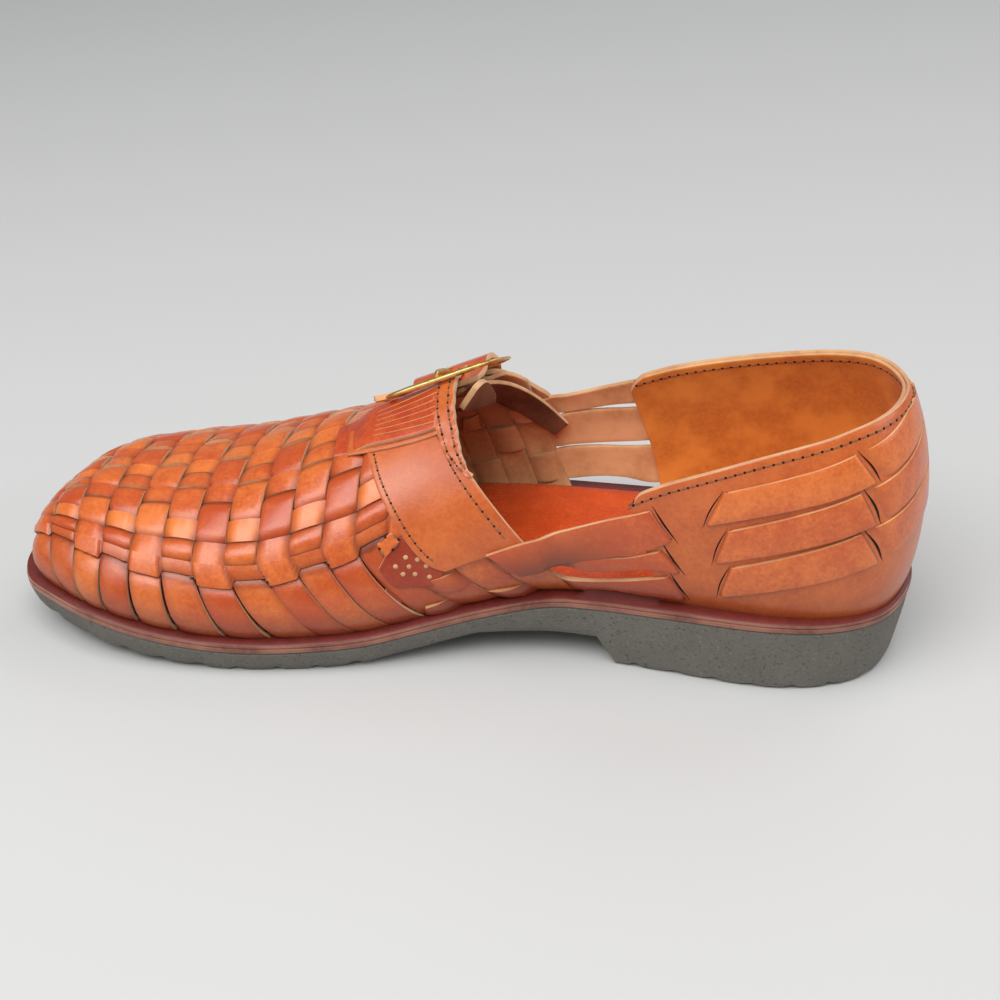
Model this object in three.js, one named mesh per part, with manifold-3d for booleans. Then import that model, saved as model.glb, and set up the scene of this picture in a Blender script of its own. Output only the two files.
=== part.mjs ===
// A right-foot huarache shoe, in millimetres, +X towards the toe, +Y towards the inner (medial) side, +Z up.
// Every piece follows the same last: a table of cross sections, turned into rings that climb from the
// feather edge, where upper meets sole, to the ridge along the top of the foot.
import * as THREE from "three";
import { mergeVertices } from "three/addons/utils/BufferGeometryUtils.js";
import Module from "manifold-3d";

const wasm = await Module();
wasm.setup();

// ---- driving dimensions ----
const LENGTH = 298.5; // outsole, heel back to toe tip
const BALL_WIDTH = 105; // outsole at the ball
const HEEL_HEIGHT = 24; // outsole under the heel
const HEEL_CENTRE = 55; // from the heel back to the middle of the heel's underside
const INSTEP_HEIGHT = 84; // top of the upper at the throat, above the floor
const WELT_THICKNESS = 3.6; // leather midsole that shows as the welt
const WELT_MARGIN = 4.8; // how far the welt stands out past the upper at the forefoot
const WALL = 2.6; // woven upper, two straps pressed together
const INSOLE_THICKNESS = 2.6;
const GAP = 0.3; // between pieces that touch
const SOLE_TAPER = 2.6; // how far the outsole's edge leans in on its way down
const TREAD_DEPTH = 1.4;
const TREAD_PITCH = 13; // from one tread groove to the next
const STRAP = 1.8; // thickness of the panel, strap and T strap
const BAND = 1.2; // how proud the woven-in heel bands stand
const WIDEST = 90; // more than half the shoe's width, for cutting right through a side

// One row for each cross section. at is its place along the length, inner and outer are half widths of
// the outsole as shares of the ball width, tread and seat are the outsole's underside and top as shares of
// the heel height, ridge is the last's top as a share of the instep height and spine how far to the inner side
// it lies, margin is the welt's as a share of the forefoot's, round says how soon the section turns in (1 is
// an ellipse, less is squarer), and the swells are how far the upper stands out past the feather edge on
// each side. spine and the swells are in millimetres.
const SECTIONS = [
  { at: 0, inner: 0, outer: 0, tread: 0.06, seat: 0.99, ridge: 1.4, spine: -1, margin: 0.4, round: 0.95, swellIn: 3.6, swellOut: 3.6 },
  { at: 0.015, inner: 0.16, outer: 0.16, tread: 0.04, seat: 0.99, ridge: 1.4, spine: -1, margin: 0.4, round: 0.95, swellIn: 3.6, swellOut: 3.6 },
  { at: 0.045, inner: 0.281, outer: 0.272, tread: 0, seat: 1, ridge: 1.4, spine: -1, margin: 0.5, round: 0.95, swellIn: 3, swellOut: 3 },
  { at: 0.095, inner: 0.353, outer: 0.336, tread: 0, seat: 1.01, ridge: 1.4, spine: -1, margin: 0.7, round: 0.9, swellIn: 3, swellOut: 3 },
  { at: 0.16, inner: 0.377, outer: 0.362, tread: 0, seat: 1.02, ridge: 1.4, spine: -1, margin: 0.9, round: 0.85, swellIn: 3, swellOut: 3 },
  { at: 0.275, inner: 0.332, outer: 0.372, tread: 0, seat: 0.98, ridge: 1.36, spine: -0.5, margin: 1.1, round: 0.85, swellIn: 6, swellOut: 4 },
  { at: 0.327, inner: 0.308, outer: 0.384, tread: 0, seat: 0.96, ridge: 1.3, spine: -1, margin: 1.1, round: 0.95, swellIn: 8, swellOut: 4 },
  { at: 0.349, inner: 0.3, outer: 0.39, tread: 0.4, seat: 0.95, ridge: 1.27, spine: -1, margin: 1.1, round: 1, swellIn: 8, swellOut: 4 },
  { at: 0.4, inner: 0.291, outer: 0.405, tread: 0.41, seat: 0.92, ridge: 1.19, spine: -1.5, margin: 1.1, round: 1.2, swellIn: 8, swellOut: 4 },
  { at: 0.478, inner: 0.32, outer: 0.452, tread: 0.4, seat: 0.74, ridge: 1.068, spine: -1.5, margin: 1, round: 1.4, swellIn: 7, swellOut: 3 },
  { at: 0.54, inner: 0.362, outer: 0.492, tread: 0.22, seat: 0.57, ridge: 0.943, spine: -1.5, margin: 1, round: 1.4, swellIn: 5, swellOut: 3 },
  { at: 0.6, inner: 0.408, outer: 0.52, tread: 0.06, seat: 0.43, ridge: 0.838, spine: -1.5, margin: 1, round: 1.25, swellIn: 4, swellOut: 3 },
  { at: 0.66, inner: 0.441, outer: 0.53, tread: 0, seat: 0.375, ridge: 0.75, spine: -1.5, margin: 1, round: 1.1, swellIn: 3, swellOut: 3 },
  { at: 0.75, inner: 0.471, outer: 0.522, tread: 0, seat: 0.375, ridge: 0.635, spine: -1, margin: 1, round: 0.95, swellIn: 3, swellOut: 3 },
  { at: 0.84, inner: 0.462, outer: 0.47, tread: 0.09, seat: 0.475, ridge: 0.575, spine: 0, margin: 1, round: 0.85, swellIn: 3, swellOut: 3 },
  { at: 0.906, inner: 0.42, outer: 0.385, tread: 0.2, seat: 0.6, ridge: 0.535, spine: 0, margin: 1, round: 0.85, swellIn: 3, swellOut: 3 },
  { at: 0.956, inner: 0.35, outer: 0.25, tread: 0.31, seat: 0.67, ridge: 0.46, spine: 0, margin: 1, round: 0.85, swellIn: 2, swellOut: 2 },
  { at: 0.986, inner: 0.285, outer: 0.06, tread: 0.37, seat: 0.69, ridge: 0.42, spine: 0, margin: 1, round: 0.85, swellIn: 2, swellOut: 2 },
  { at: 1, inner: 0.17, outer: -0.17, tread: 0.4, seat: 0.7, ridge: 0.4, spine: 0, margin: 1, round: 0.85, swellIn: 2, swellOut: 2 },
];
const RIDGE_BACK = 40; // the ridge line runs from here
const RIDGE_FRONT = 258; // to here, and the heel and toe round off beyond it
const STEPS_PER_SECTION = 3; // points along the outline between two sections
const RINGS = 12; // from the feather edge to the ridge
const TOP = Math.PI / 2; // the angle climbed from the feather edge to the ridge

// ---- curves ----
// Value of a column along the length: smooth, or straight from row to row where the sole has corners.
function column(name, scale, smooth = true) {
  const places = SECTIONS.map((s) => s.at * LENGTH);
  const values = SECTIONS.map((s) => s[name] * scale);
  const Kind = smooth ? THREE.CubicInterpolant : THREE.LinearInterpolant;
  const curve = new Kind(places, values, 1);
  return (x) => curve.evaluate(THREE.MathUtils.clamp(x, 0, LENGTH))[0];
}
const treadAt = column("tread", HEEL_HEIGHT, false);
const seatAt = column("seat", HEEL_HEIGHT);
const ridgeAt = column("ridge", INSTEP_HEIGHT);
const spineAt = column("spine", 1);
const marginAt = column("margin", WELT_MARGIN);
const roundAt = column("round", 1);
const swellInAt = column("swellIn", 1);
const swellOutAt = column("swellOut", 1);

// The outsole's outline in plan, from the heel back round the inner side to the toe and home again.
function soleOutline() {
  const inner = SECTIONS.map((s) => [s.at * LENGTH, s.inner * BALL_WIDTH]);
  const outer = SECTIONS.slice(1, -1).map((s) => [s.at * LENGTH, -s.outer * BALL_WIDTH]).reverse();
  const curve = new THREE.CatmullRomCurve3(
    [...inner, ...outer].map(([x, y]) => new THREE.Vector3(x, y, 0)), true, "centripetal");
  return curve.getPoints((inner.length + outer.length) * STEPS_PER_SECTION).slice(0, -1);
}
const OUTLINE = soleOutline();

// The outline moved in by a distance, which may change along the length, each point along its own normal.
function inset(points, distanceAt) {
  return points.map((p, i) => {
    const before = points.at(i - 1);
    const after = points[(i + 1) % points.length];
    const along = after.clone().sub(before).normalize();
    const inwards = new THREE.Vector3(along.y, -along.x, 0);
    return p.clone().addScaledVector(inwards, distanceAt(p.x));
  });
}

// ---- solids ----
// A closed surface from rings of equal length, bottom ring first, each running the outline's way. The end
// rings are closed by a zip of triangles between the inner and outer side.
function solidOf(rings) {
  const n = rings[0].length;
  const vertices = rings.flat().flatMap((p) => [p.x, p.y, p.z]);
  const faces = [];
  for (let k = 0; k + 1 < rings.length; k++)
    for (let i = 0; i < n; i++) {
      const [a, b] = [k * n + i, k * n + ((i + 1) % n)];
      faces.push(b, a, a + n, b, a + n, b + n);
    }
  const top = (rings.length - 1) * n;
  for (let i = 0; 2 * i + 1 < n; i++) {
    const [a, b, c, d] = [i, i + 1, n - i - 1, (n - i) % n];
    if (c > b) faces.push(a, b, c, top + b, top + a, top + c);
    if (i > 0 && c >= b) faces.push(a, c, d, top + c, top + a, top + d);
  }
  return manifoldOf(vertices, faces);
}

function manifoldOf(vertices, faces) {
  const made = new wasm.Manifold(new wasm.Mesh({
    numProp: 3, vertProperties: new Float32Array(vertices), triVerts: new Uint32Array(faces) }));
  if (made.volume() > 0) return made;
  const turned = faces.map((_, i) => faces[i - (i % 3) + 2 - (i % 3)]);
  return new wasm.Manifold(new wasm.Mesh({
    numProp: 3, vertProperties: new Float32Array(vertices), triVerts: new Uint32Array(turned) }));
}

// A point on the last, grown outwards by a distance: climb turns from the feather edge, at foot, to the ridge.
function lastPoint(foot, climb, grow) {
  const ridgeX = THREE.MathUtils.clamp(foot.x, RIDGE_BACK, RIDGE_FRONT);
  const spine = spineAt(ridgeX);
  const swell = foot.y > spine ? swellInAt(foot.x) : swellOutAt(foot.x);
  const plan = new THREE.Vector2(foot.x - ridgeX, foot.y - spine);
  const lean = Math.cos(climb) ** roundAt(foot.x);
  plan.setLength(Math.max(lean * plan.length() + swell * Math.sin(Math.PI * (climb / TOP) ** 0.6), 0.4));
  const low = seatAt(foot.x) + WELT_THICKNESS + GAP;
  const high = ridgeAt(ridgeX) + grow;
  return new THREE.Vector3(ridgeX + plan.x, spine + plan.y, low + (high - low) * Math.sin(climb) ** 0.9);
}

// Rings of the last, from the feather edge to just short of the ridge.
function lastRings(grow) {
  const foot = inset(OUTLINE, (x) => marginAt(x) - grow);
  const climbs = Array.from({ length: RINGS + 1 }, (_, k) => (k / RINGS) * 0.985 * TOP);
  return climbs.map((climb) => foot.map((p) => lastPoint(p, climb, grow)));
}

// A hollow wall between two sizes of the last, open underneath: down the inside, then up the outside.
function lastWall(low, high) {
  return solidOf([...lastRings(low).reverse(), ...lastRings(high)]);
}

// A side view polygon pushed right across the shoe, rows of x and z.
function acrossPrism(rows, from, to) {
  const shape = new THREE.Shape(rows.map(([x, z]) => new THREE.Vector2(x, z)));
  const geometry = new THREE.ExtrudeGeometry(shape, { depth: to - from, bevelEnabled: false });
  geometry.rotateX(Math.PI / 2).translate(0, to, 0);
  return manifoldOfGeometry(geometry);
}

// A plan polygon pushed straight up, rows of x and y.
function uprightPrism(rows, from, to) {
  const shape = new THREE.Shape(rows.map(([x, y]) => new THREE.Vector2(x, y)));
  const geometry = new THREE.ExtrudeGeometry(shape, { depth: to - from, bevelEnabled: false });
  return manifoldOfGeometry(geometry.translate(0, 0, from));
}

function manifoldOfGeometry(geometry) {
  geometry.deleteAttribute("normal");
  geometry.deleteAttribute("uv");
  const merged = mergeVertices(geometry, 1e-3);
  return manifoldOf([...merged.attributes.position.array], [...merged.index.array]);
}

// A leather piece laid on the upper: what lies between two larger lasts, inside a side view outline.
function overlay(low, high, rows, from, to) {
  return lastWall(low, high).intersect(acrossPrism(rows, from, to));
}

// ---- sole ----
function plate(foot, lowAt, top, highAt) {
  const low = foot.map((p) => new THREE.Vector3(p.x, p.y, lowAt(p.x)));
  const high = top.map((p) => new THREE.Vector3(p.x, p.y, highAt(p.x)));
  return solidOf([low, high]);
}

// Grooves across the tread, under the heel and from the waist to the toe.
function outsole() {
  const rows = [[20, 80], [LENGTH * 0.54, LENGTH * 0.95]];
  let sole = plate(inset(OUTLINE, () => SOLE_TAPER), treadAt, OUTLINE, seatAt);
  for (const [first, last] of rows)
    for (let x = first; x <= last; x += TREAD_PITCH) {
      const bottom = treadAt(x);
      const groove = [[x - 1.8, bottom - 1], [x + 1.8, bottom - 1], [x, bottom + TREAD_DEPTH]];
      sole = sole.subtract(acrossPrism(groove, -WIDEST, WIDEST));
    }
  return sole;
}

function midsole() {
  return plate(OUTLINE, (x) => seatAt(x) + GAP, OUTLINE, (x) => seatAt(x) + WELT_THICKNESS);
}

function insole() {
  const edge = inset(OUTLINE, (x) => marginAt(x) + WALL + 2 * GAP);
  const bottom = (x) => seatAt(x) + WELT_THICKNESS + GAP;
  return plate(edge, bottom, edge, (x) => bottom(x) + INSOLE_THICKNESS);
}

// ---- upper ----
// Side view outlines, rows of x and z. The collar and throat differ on the inner and outer side.
const COLLAR_BACK = [[-40, 96.5], [14, 96.5]];
const COLLAR_INNER = [[28, 93.9], [37, 91.2], [55, 85.2], [74, 77.6], [88, 71.8], [94.5, 67.9], [97.5, 62.5]];
const COLLAR_OUTER = [[32, 92.5], [63, 86.1], [84, 80.2], [97.5, 74.2], [99.5, 71.1]];
const THROAT_INNER = [[117, 53.4], [127.8, 50.2], [136.5, 58.2], [143.2, 65.3], [148, 70.3], [150.6, 76.4], [152, 84]];
const THROAT_OUTER = [[112, 66.9], [124.6, 62.6], [130, 66.4], [137, 72.8], [144, 78.5], [149, 81.5], [152, 84]];
const THROAT_TOP = [[152, 160], [-40, 160]];
const GAPS_INNER = [
  [[113.5, 33], [113, 38.4], [104, 39], [94.5, 41.2], [88, 42.4], [89, 39.2], [94.5, 37.2], [104, 34.4]],
  [[117, 24], [114, 30.2], [102, 31], [90, 30.4], [86, 24]],
];
const GAPS_OUTER = [
  [[119, 55.2], [118.5, 58], [99, 62.2], [99.5, 59.2]],
  [[119, 40.6], [118.5, 43.2], [97, 46.4], [97.5, 43.4]],
  [[114, 24], [110, 30.6], [99, 32], [88, 31], [84, 24]],
];

function upper() {
  let shell = lastWall(-WALL, 0);
  const inner = [...COLLAR_BACK, ...COLLAR_INNER, ...THROAT_INNER, ...THROAT_TOP];
  const outer = [...COLLAR_BACK, ...COLLAR_OUTER, ...THROAT_OUTER, ...THROAT_TOP];
  for (const rows of [inner, ...GAPS_INNER]) shell = shell.subtract(acrossPrism(rows, 0, WIDEST));
  for (const rows of [outer, ...GAPS_OUTER]) shell = shell.subtract(acrossPrism(rows, -WIDEST, 0));
  return shell;
}

// ---- straps over the instep ----
const FIRST = [GAP, GAP + STRAP]; // the layer next to the upper
const SECOND = [2 * GAP + STRAP, 2 * GAP + 2 * STRAP]; // the layer over that
const SKY = 120; // higher than anything
const STRAP_BACK = 158.3; // rear and front edge of the instep strap where it crosses the ridge
const STRAP_FRONT = 187;
const RIDGE_INNER = 5; // the instep strap turns backwards from here, on its way to the buckle
const TAB_INNER = 14; // sides of the grooved tab; its outer side is under the buckle's inner bar
const TAB_OUTER = -3;
const UNDER_BUCKLE = -16; // where the instep strap leaves the upper and comes up through the buckle
const OUTER_BAR = -23.5; // the buckle strap ends here, folded round the buckle's outer bar

// The instep strap starts as a broad panel low on the inner side and narrows on its way over the ridge.
function instepPanel() {
  const rows = [
    [153.4, 38], [139, 45.2], [127.8, 50.2], [136.5, 58.2], [143.2, 65.3], [149.3, 71.2], [154, 75.9],
    [STRAP_BACK, 79], [STRAP_BACK, SKY], [STRAP_FRONT, SKY], [STRAP_FRONT, 72], [181.5, 66.8],
    [176.9, 60.7], [171.3, 53.7], [164.6, 45.5], [158.2, 39.7],
  ];
  const crossing = [
    [STRAP_BACK, RIDGE_INNER + 0.5], [STRAP_FRONT, RIDGE_INNER + 0.5], [170, UNDER_BUCKLE],
    [148.5, UNDER_BUCKLE], [151, TAB_OUTER - GAP], [STRAP_BACK, TAB_OUTER - GAP],
  ];
  const top = lastWall(...FIRST).intersect(uprightPrism(crossing, 60, SKY));
  return overlay(...FIRST, rows, RIDGE_INNER, WIDEST).add(top);
}

// The strap on the outer side that holds the buckle.
function buckleStrap() {
  const rows = [
    [150, 38], [124.6, 44], [124.6, 62.6], [130, 66.4], [137, 72.8], [144, 78.5], [146, SKY],
    [STRAP_FRONT, SKY], [185, 66], [178, 54], [168, 44],
  ];
  return overlay(...FIRST, rows, -WIDEST, OUTER_BAR);
}

// A grooved tab over the instep strap, whose folded end is sewn along the throat.
function tStrap() {
  const tab = [[152, 40], [190, 40], [190, SKY], [152, SKY]];
  const hem = [[148.2, 70.6], [150.6, 76.4], [152, 84], [152, SKY], [158, SKY], [158, 79.1], [153.7, 76]];
  const fold = overlay(GAP, SECOND[0] + 0.4, hem, TAB_OUTER, 40);
  return overlay(...SECOND, tab, TAB_OUTER, TAB_INNER).add(fold);
}

// The punched patch let in at the foot of the panel, in front of it.
function punchedPatch() {
  const rows = [[164.9, 45], [168.8, 46.2], [174.5, 38.6], [169.5, 32.4], [156, 32.2], [154.2, 37.4], [158.6, 39.4]];
  return overlay(GAP, GAP + 1, rows, 0, WIDEST);
}

// Three bands woven into each side of the heel, lowest first. The outer side mirrors the inner.
const HEEL_BANDS = [
  [[64, 46.3], [23.6, 61.5], [16.8, 50.2], [66.6, 34.4]],
  [[66.1, 59.7], [25.2, 75], [19.2, 64.2], [69.2, 47.6]],
  [[68.5, 72.4], [28.2, 87], [20.9, 78], [73, 61]],
];

// ---- buckle ----
const BUCKLE = { length: 41, width: 25, bar: 2.8, thick: 2.6, corner: 6 };
const BUCKLE_PLACE = new THREE.Vector3(157.5, -10.5, 82.8);
const BUCKLE_TURN = new THREE.Euler(
  THREE.MathUtils.degToRad(27.5), THREE.MathUtils.degToRad(24.5), 0, "YXZ"); // slopes outwards and to the toe
const BUCKLE_QUATERNION = new THREE.Quaternion().setFromEuler(BUCKLE_TURN);
const ONE = new THREE.Vector3(1, 1, 1);
const BILLET_WIDTH = 27;

function roundedOutline(length, width, corner, Kind) {
  const [x, y] = [length / 2, width / 2];
  const outline = new Kind();
  outline.moveTo(x, y - corner);
  outline.quadraticCurveTo(x, y, x - corner, y);
  outline.lineTo(corner - x, y);
  outline.quadraticCurveTo(-x, y, -x, y - corner);
  outline.lineTo(-x, corner - y);
  outline.quadraticCurveTo(-x, -y, corner - x, -y);
  outline.lineTo(x - corner, -y);
  outline.quadraticCurveTo(x, -y, x, corner - y);
  outline.closePath();
  return outline;
}

function buckleFrame() {
  const { length, width, bar, thick, corner } = BUCKLE;
  const shape = roundedOutline(length, width, corner, THREE.Shape);
  shape.holes.push(roundedOutline(length - 2 * bar, width - 2 * bar, corner - bar, THREE.Path));
  const bevel = 0.5;
  const geometry = new THREE.ExtrudeGeometry(shape, {
    depth: thick - 2 * bevel, curveSegments: 4, bevelSize: bevel, bevelThickness: bevel,
    bevelOffset: -bevel, bevelSegments: 1 });
  return manifoldOfGeometry(geometry.translate(0, 0, bevel - thick / 2));
}

// A profile in the plane across the buckle's length, pushed along that length.
function acrossBuckle(points, width) {
  const geometry = new THREE.ExtrudeGeometry(new THREE.Shape(points), { depth: width, bevelEnabled: false });
  geometry.applyMatrix4(new THREE.Matrix4().makeBasis(
    new THREE.Vector3(0, 1, 0), new THREE.Vector3(0, 0, 1), new THREE.Vector3(1, 0, 0)));
  return manifoldOfGeometry(geometry.translate(-width / 2, 0, 0));
}

// The prong rests on the inner bar and its end drops through the strap.
function buckleProng() {
  const over = BUCKLE.thick / 2 + GAP;
  const tip = BUCKLE.width / 2 + 0.6;
  const rows = [[-1, over + 1.6], [tip - 1.5, over + 1.6], [tip, over + 0.8], [tip - 1.5, over], [-1, over]];
  return acrossBuckle(rows.map(([y, z]) => new THREE.Vector2(y, z)), 2.4);
}

// The strap's pointed end: up over the outer bar, then down over the buckle strap.
function strapEnd() {
  const over = BUCKLE.thick / 2 + GAP;
  const bar = -BUCKLE.width / 2;
  const hump = [
    [bar + 8, over - 1], [bar + 4, over], [bar - 1, over], [bar - 6, over - 2.4],
    [bar - 6, over - 2.4 + STRAP], [bar - 1, over + STRAP], [bar + 4, over + STRAP], [bar + 8, over - 1 + STRAP],
  ];
  const placed = acrossBuckle(hump.map(([y, z]) => new THREE.Vector2(y, z)), BILLET_WIDTH)
    .transform(new THREE.Matrix4().compose(BUCKLE_PLACE, BUCKLE_QUATERNION, ONE).toArray());
  const tail = [[140, SKY], [168, SKY], [172, 62], [166, 50], [156, 47], [148, 54], [142, 68]];
  return placed.add(overlay(...SECOND, tail, -WIDEST, OUTER_BAR - 3));
}

// ---- the shoe ----
// The origin is on the floor under the middle of the heel.
const shoe = new THREE.Group();
shoe.position.x = -HEEL_CENTRE;

function add(name, solid, colour, roughness, metalness = 0, group = shoe) {
  const mesh = solid.getMesh();
  const geometry = new THREE.BufferGeometry();
  geometry.setAttribute("position", new THREE.BufferAttribute(new Float32Array(mesh.vertProperties), 3));
  geometry.setIndex(new THREE.BufferAttribute(new Uint32Array(mesh.triVerts), 1));
  geometry.computeVertexNormals();
  const piece = new THREE.Mesh(geometry, new THREE.MeshStandardMaterial({ color: colour, roughness, metalness }));
  piece.name = name;
  group.add(piece);
}

const LEATHER = 0xb5522a;
const RED_LEATHER = 0x8e1f14;
const BRASS = 0xb8924a;

add("outsole", outsole(), 0x6d6a64, 0.9);
add("midsole", midsole(), 0x7a3a28, 0.6);
add("insole", insole(), RED_LEATHER, 0.25);
add("upper", upper(), LEATHER, 0.45);
add("instep_panel", instepPanel(), 0xc4693c, 0.4);
add("buckle_strap", buckleStrap(), LEATHER, 0.4);
add("t_strap", tStrap(), LEATHER, 0.4);
add("punched_patch", punchedPatch(), 0x6b1f16, 0.5);
HEEL_BANDS.forEach((rows, i) => {
  add(`heel_band_inner_${i + 1}`, overlay(GAP, GAP + BAND, rows, 0, WIDEST), LEATHER, 0.4);
  add(`heel_band_outer_${i + 1}`, overlay(GAP, GAP + BAND, rows, -WIDEST, 0), LEATHER, 0.4);
});

const buckle = new THREE.Group();
buckle.position.copy(BUCKLE_PLACE);
buckle.rotation.copy(BUCKLE_TURN);
shoe.add(buckle);
add("buckle_frame", buckleFrame(), BRASS, 0.35, 1, buckle);
add("buckle_prong", buckleProng(), BRASS, 0.35, 1, buckle);
add("strap_end", strapEnd(), LEATHER, 0.4);

export default shoe;
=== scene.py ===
"""A right-foot huarache shoe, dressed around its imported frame.

Laid out as an add-on: a property group holds what a user may change, each operator builds one piece or
group of like pieces, and a panel in the 3D view's sidebar lists them. Lengths in the tables are millimetres
in the shoe's own frame: x from the back of the heel to the toe, y to the inner side, z up.
"""

import math
import random

import bpy
import numpy as np
from mathutils import Matrix, Vector


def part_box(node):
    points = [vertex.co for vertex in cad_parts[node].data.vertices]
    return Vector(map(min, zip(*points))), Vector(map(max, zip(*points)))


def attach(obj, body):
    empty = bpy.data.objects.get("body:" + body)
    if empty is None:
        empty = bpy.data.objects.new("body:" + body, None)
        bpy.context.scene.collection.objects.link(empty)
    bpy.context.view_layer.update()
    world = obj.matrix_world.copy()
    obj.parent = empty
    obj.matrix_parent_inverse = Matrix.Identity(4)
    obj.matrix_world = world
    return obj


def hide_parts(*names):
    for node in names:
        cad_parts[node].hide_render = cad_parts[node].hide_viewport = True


bl_info = {
    "name": "Huarache shoe",
    "version": (1, 0, 0),
    "blender": (4, 5, 0),
    "location": "View3D > Sidebar > Huarache",
    "description": "Builds a woven huarache shoe with a buckled strap around its packed frame",
    "category": "Add Mesh",
}

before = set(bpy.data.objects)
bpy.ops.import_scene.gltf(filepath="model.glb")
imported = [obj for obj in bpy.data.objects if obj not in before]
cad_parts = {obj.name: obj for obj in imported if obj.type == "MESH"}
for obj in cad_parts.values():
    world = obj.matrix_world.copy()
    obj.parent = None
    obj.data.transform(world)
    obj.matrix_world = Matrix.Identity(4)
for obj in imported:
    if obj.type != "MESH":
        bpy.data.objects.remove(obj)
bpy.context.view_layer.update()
MM = 0.001  # one millimetre in metres
SOLE_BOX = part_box("outsole")
HEEL_BACK = SOLE_BOX[0].x / MM  # where the shoe's own x starts, in the frame
LENGTH = (SOLE_BOX[1].x - SOLE_BOX[0].x) / MM
BALL_WIDTH = 105
HEEL_HEIGHT = 24
INSTEP_HEIGHT = 84
WELT_THICKNESS = 3.6
WELT_MARGIN = 4.8
GAP = 0.3  # between a piece and the next one

# ---------------------------------------------------------------- the last
# One row for each cross section, as shares: place along the length, inner and outer half width of the
# outsole, its underside and top, the top of the foot; then the ridge's place to the inner side (mm), the
# welt's margin, how round the section is, and how far each side swells past the sole's edge (mm).
COLUMNS = (
    "at", "inner", "outer", "tread", "seat", "ridge", "spine", "margin", "round", "swell_in", "swell_out",
)
SECTIONS = np.array([
    (0, 0, 0, 0.06, 0.99, 1.4, -1, 0.4, 0.95, 3.6, 3.6),
    (0.015, 0.16, 0.16, 0.04, 0.99, 1.4, -1, 0.4, 0.95, 3.6, 3.6),
    (0.045, 0.281, 0.272, 0, 1, 1.4, -1, 0.5, 0.95, 3, 3),
    (0.095, 0.353, 0.336, 0, 1.01, 1.4, -1, 0.7, 0.9, 3, 3),
    (0.16, 0.377, 0.362, 0, 1.02, 1.4, -1, 0.9, 0.85, 3, 3),
    (0.275, 0.332, 0.372, 0, 0.98, 1.36, -0.5, 1.1, 0.85, 6, 4),
    (0.327, 0.308, 0.384, 0, 0.96, 1.3, -1, 1.1, 0.95, 8, 4),
    (0.349, 0.3, 0.39, 0.4, 0.95, 1.27, -1, 1.1, 1, 8, 4),
    (0.4, 0.291, 0.405, 0.41, 0.92, 1.19, -1.5, 1.1, 1.2, 8, 4),
    (0.478, 0.32, 0.452, 0.4, 0.74, 1.068, -1.5, 1, 1.4, 7, 3),
    (0.54, 0.362, 0.492, 0.22, 0.57, 0.943, -1.5, 1, 1.4, 5, 3),
    (0.6, 0.408, 0.52, 0.06, 0.43, 0.838, -1.5, 1, 1.25, 4, 3),
    (0.66, 0.441, 0.53, 0, 0.375, 0.75, -1.5, 1, 1.1, 3, 3),
    (0.75, 0.471, 0.522, 0, 0.375, 0.635, -1, 1, 0.95, 3, 3),
    (0.84, 0.462, 0.47, 0.09, 0.475, 0.575, 0, 1, 0.85, 3, 3),
    (0.906, 0.42, 0.385, 0.2, 0.6, 0.535, 0, 1, 0.85, 3, 3),
    (0.956, 0.35, 0.25, 0.31, 0.67, 0.46, 0, 1, 0.85, 2, 2),
    (0.986, 0.285, 0.06, 0.37, 0.69, 0.42, 0, 1, 0.85, 2, 2),
    (1, 0.17, -0.17, 0.4, 0.7, 0.4, 0, 1, 0.85, 2, 2),
])
RIDGE_BACK = 40  # behind this x and in front of the next, sections fan out round the ridge's end
RIDGE_FRONT = 258
STEPS = 12  # outline points between two sections
CLIMBS = 61  # rings in the tables from the feather edge to the ridge
TOP = math.pi / 2  # the climb at the ridge
SWELL_LOW = 0.6  # below 1 the sides swell most in their lower half
CLIMB_POWER = 0.9  # below 1 the sides rise more steeply off the feather edge


def smooth_curve(places, values):
    """A smooth curve through the rows: a row's slope is the mean of its two chords', and 0 at the ends."""
    places = np.asarray(places, float)
    values = np.asarray(values, float)
    chords = np.diff(values) / np.diff(places)
    slopes = np.concatenate([[0], (chords[1:] + chords[:-1]) / 2, [0]])

    def at(x):
        x = np.clip(np.asarray(x, float), places[0], places[-1])
        i = np.clip(np.searchsorted(places, x, side="right") - 1, 0, len(places) - 2)
        span = places[i + 1] - places[i]
        t = (x - places[i]) / span
        a = (1 + 2 * t) * (1 - t) ** 2 * values[i] + t * (1 - t) ** 2 * span * slopes[i]
        return a + t * t * (3 - 2 * t) * values[i + 1] + t * t * (t - 1) * span * slopes[i + 1]

    return at


def curve_through(*rows):
    """A smooth curve through rows of two columns."""
    return smooth_curve(*zip(*rows))


def column(name, scale=1.0):
    """One of the sections' columns as a smooth curve of x."""
    return smooth_curve(SECTIONS[:, 0] * LENGTH, SECTIONS[:, COLUMNS.index(name)] * scale)


seat_at = column("seat", HEEL_HEIGHT)
ridge_at = column("ridge", INSTEP_HEIGHT)
spine_at = column("spine")
margin_at = column("margin", WELT_MARGIN)
round_at = column("round")
swell_in_at = column("swell_in")
swell_out_at = column("swell_out")


def tread_at(x):
    """The underside's height, straight from section to section."""
    return np.interp(x, SECTIONS[:, 0] * LENGTH, SECTIONS[:, COLUMNS.index("tread")] * HEEL_HEIGHT)


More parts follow.
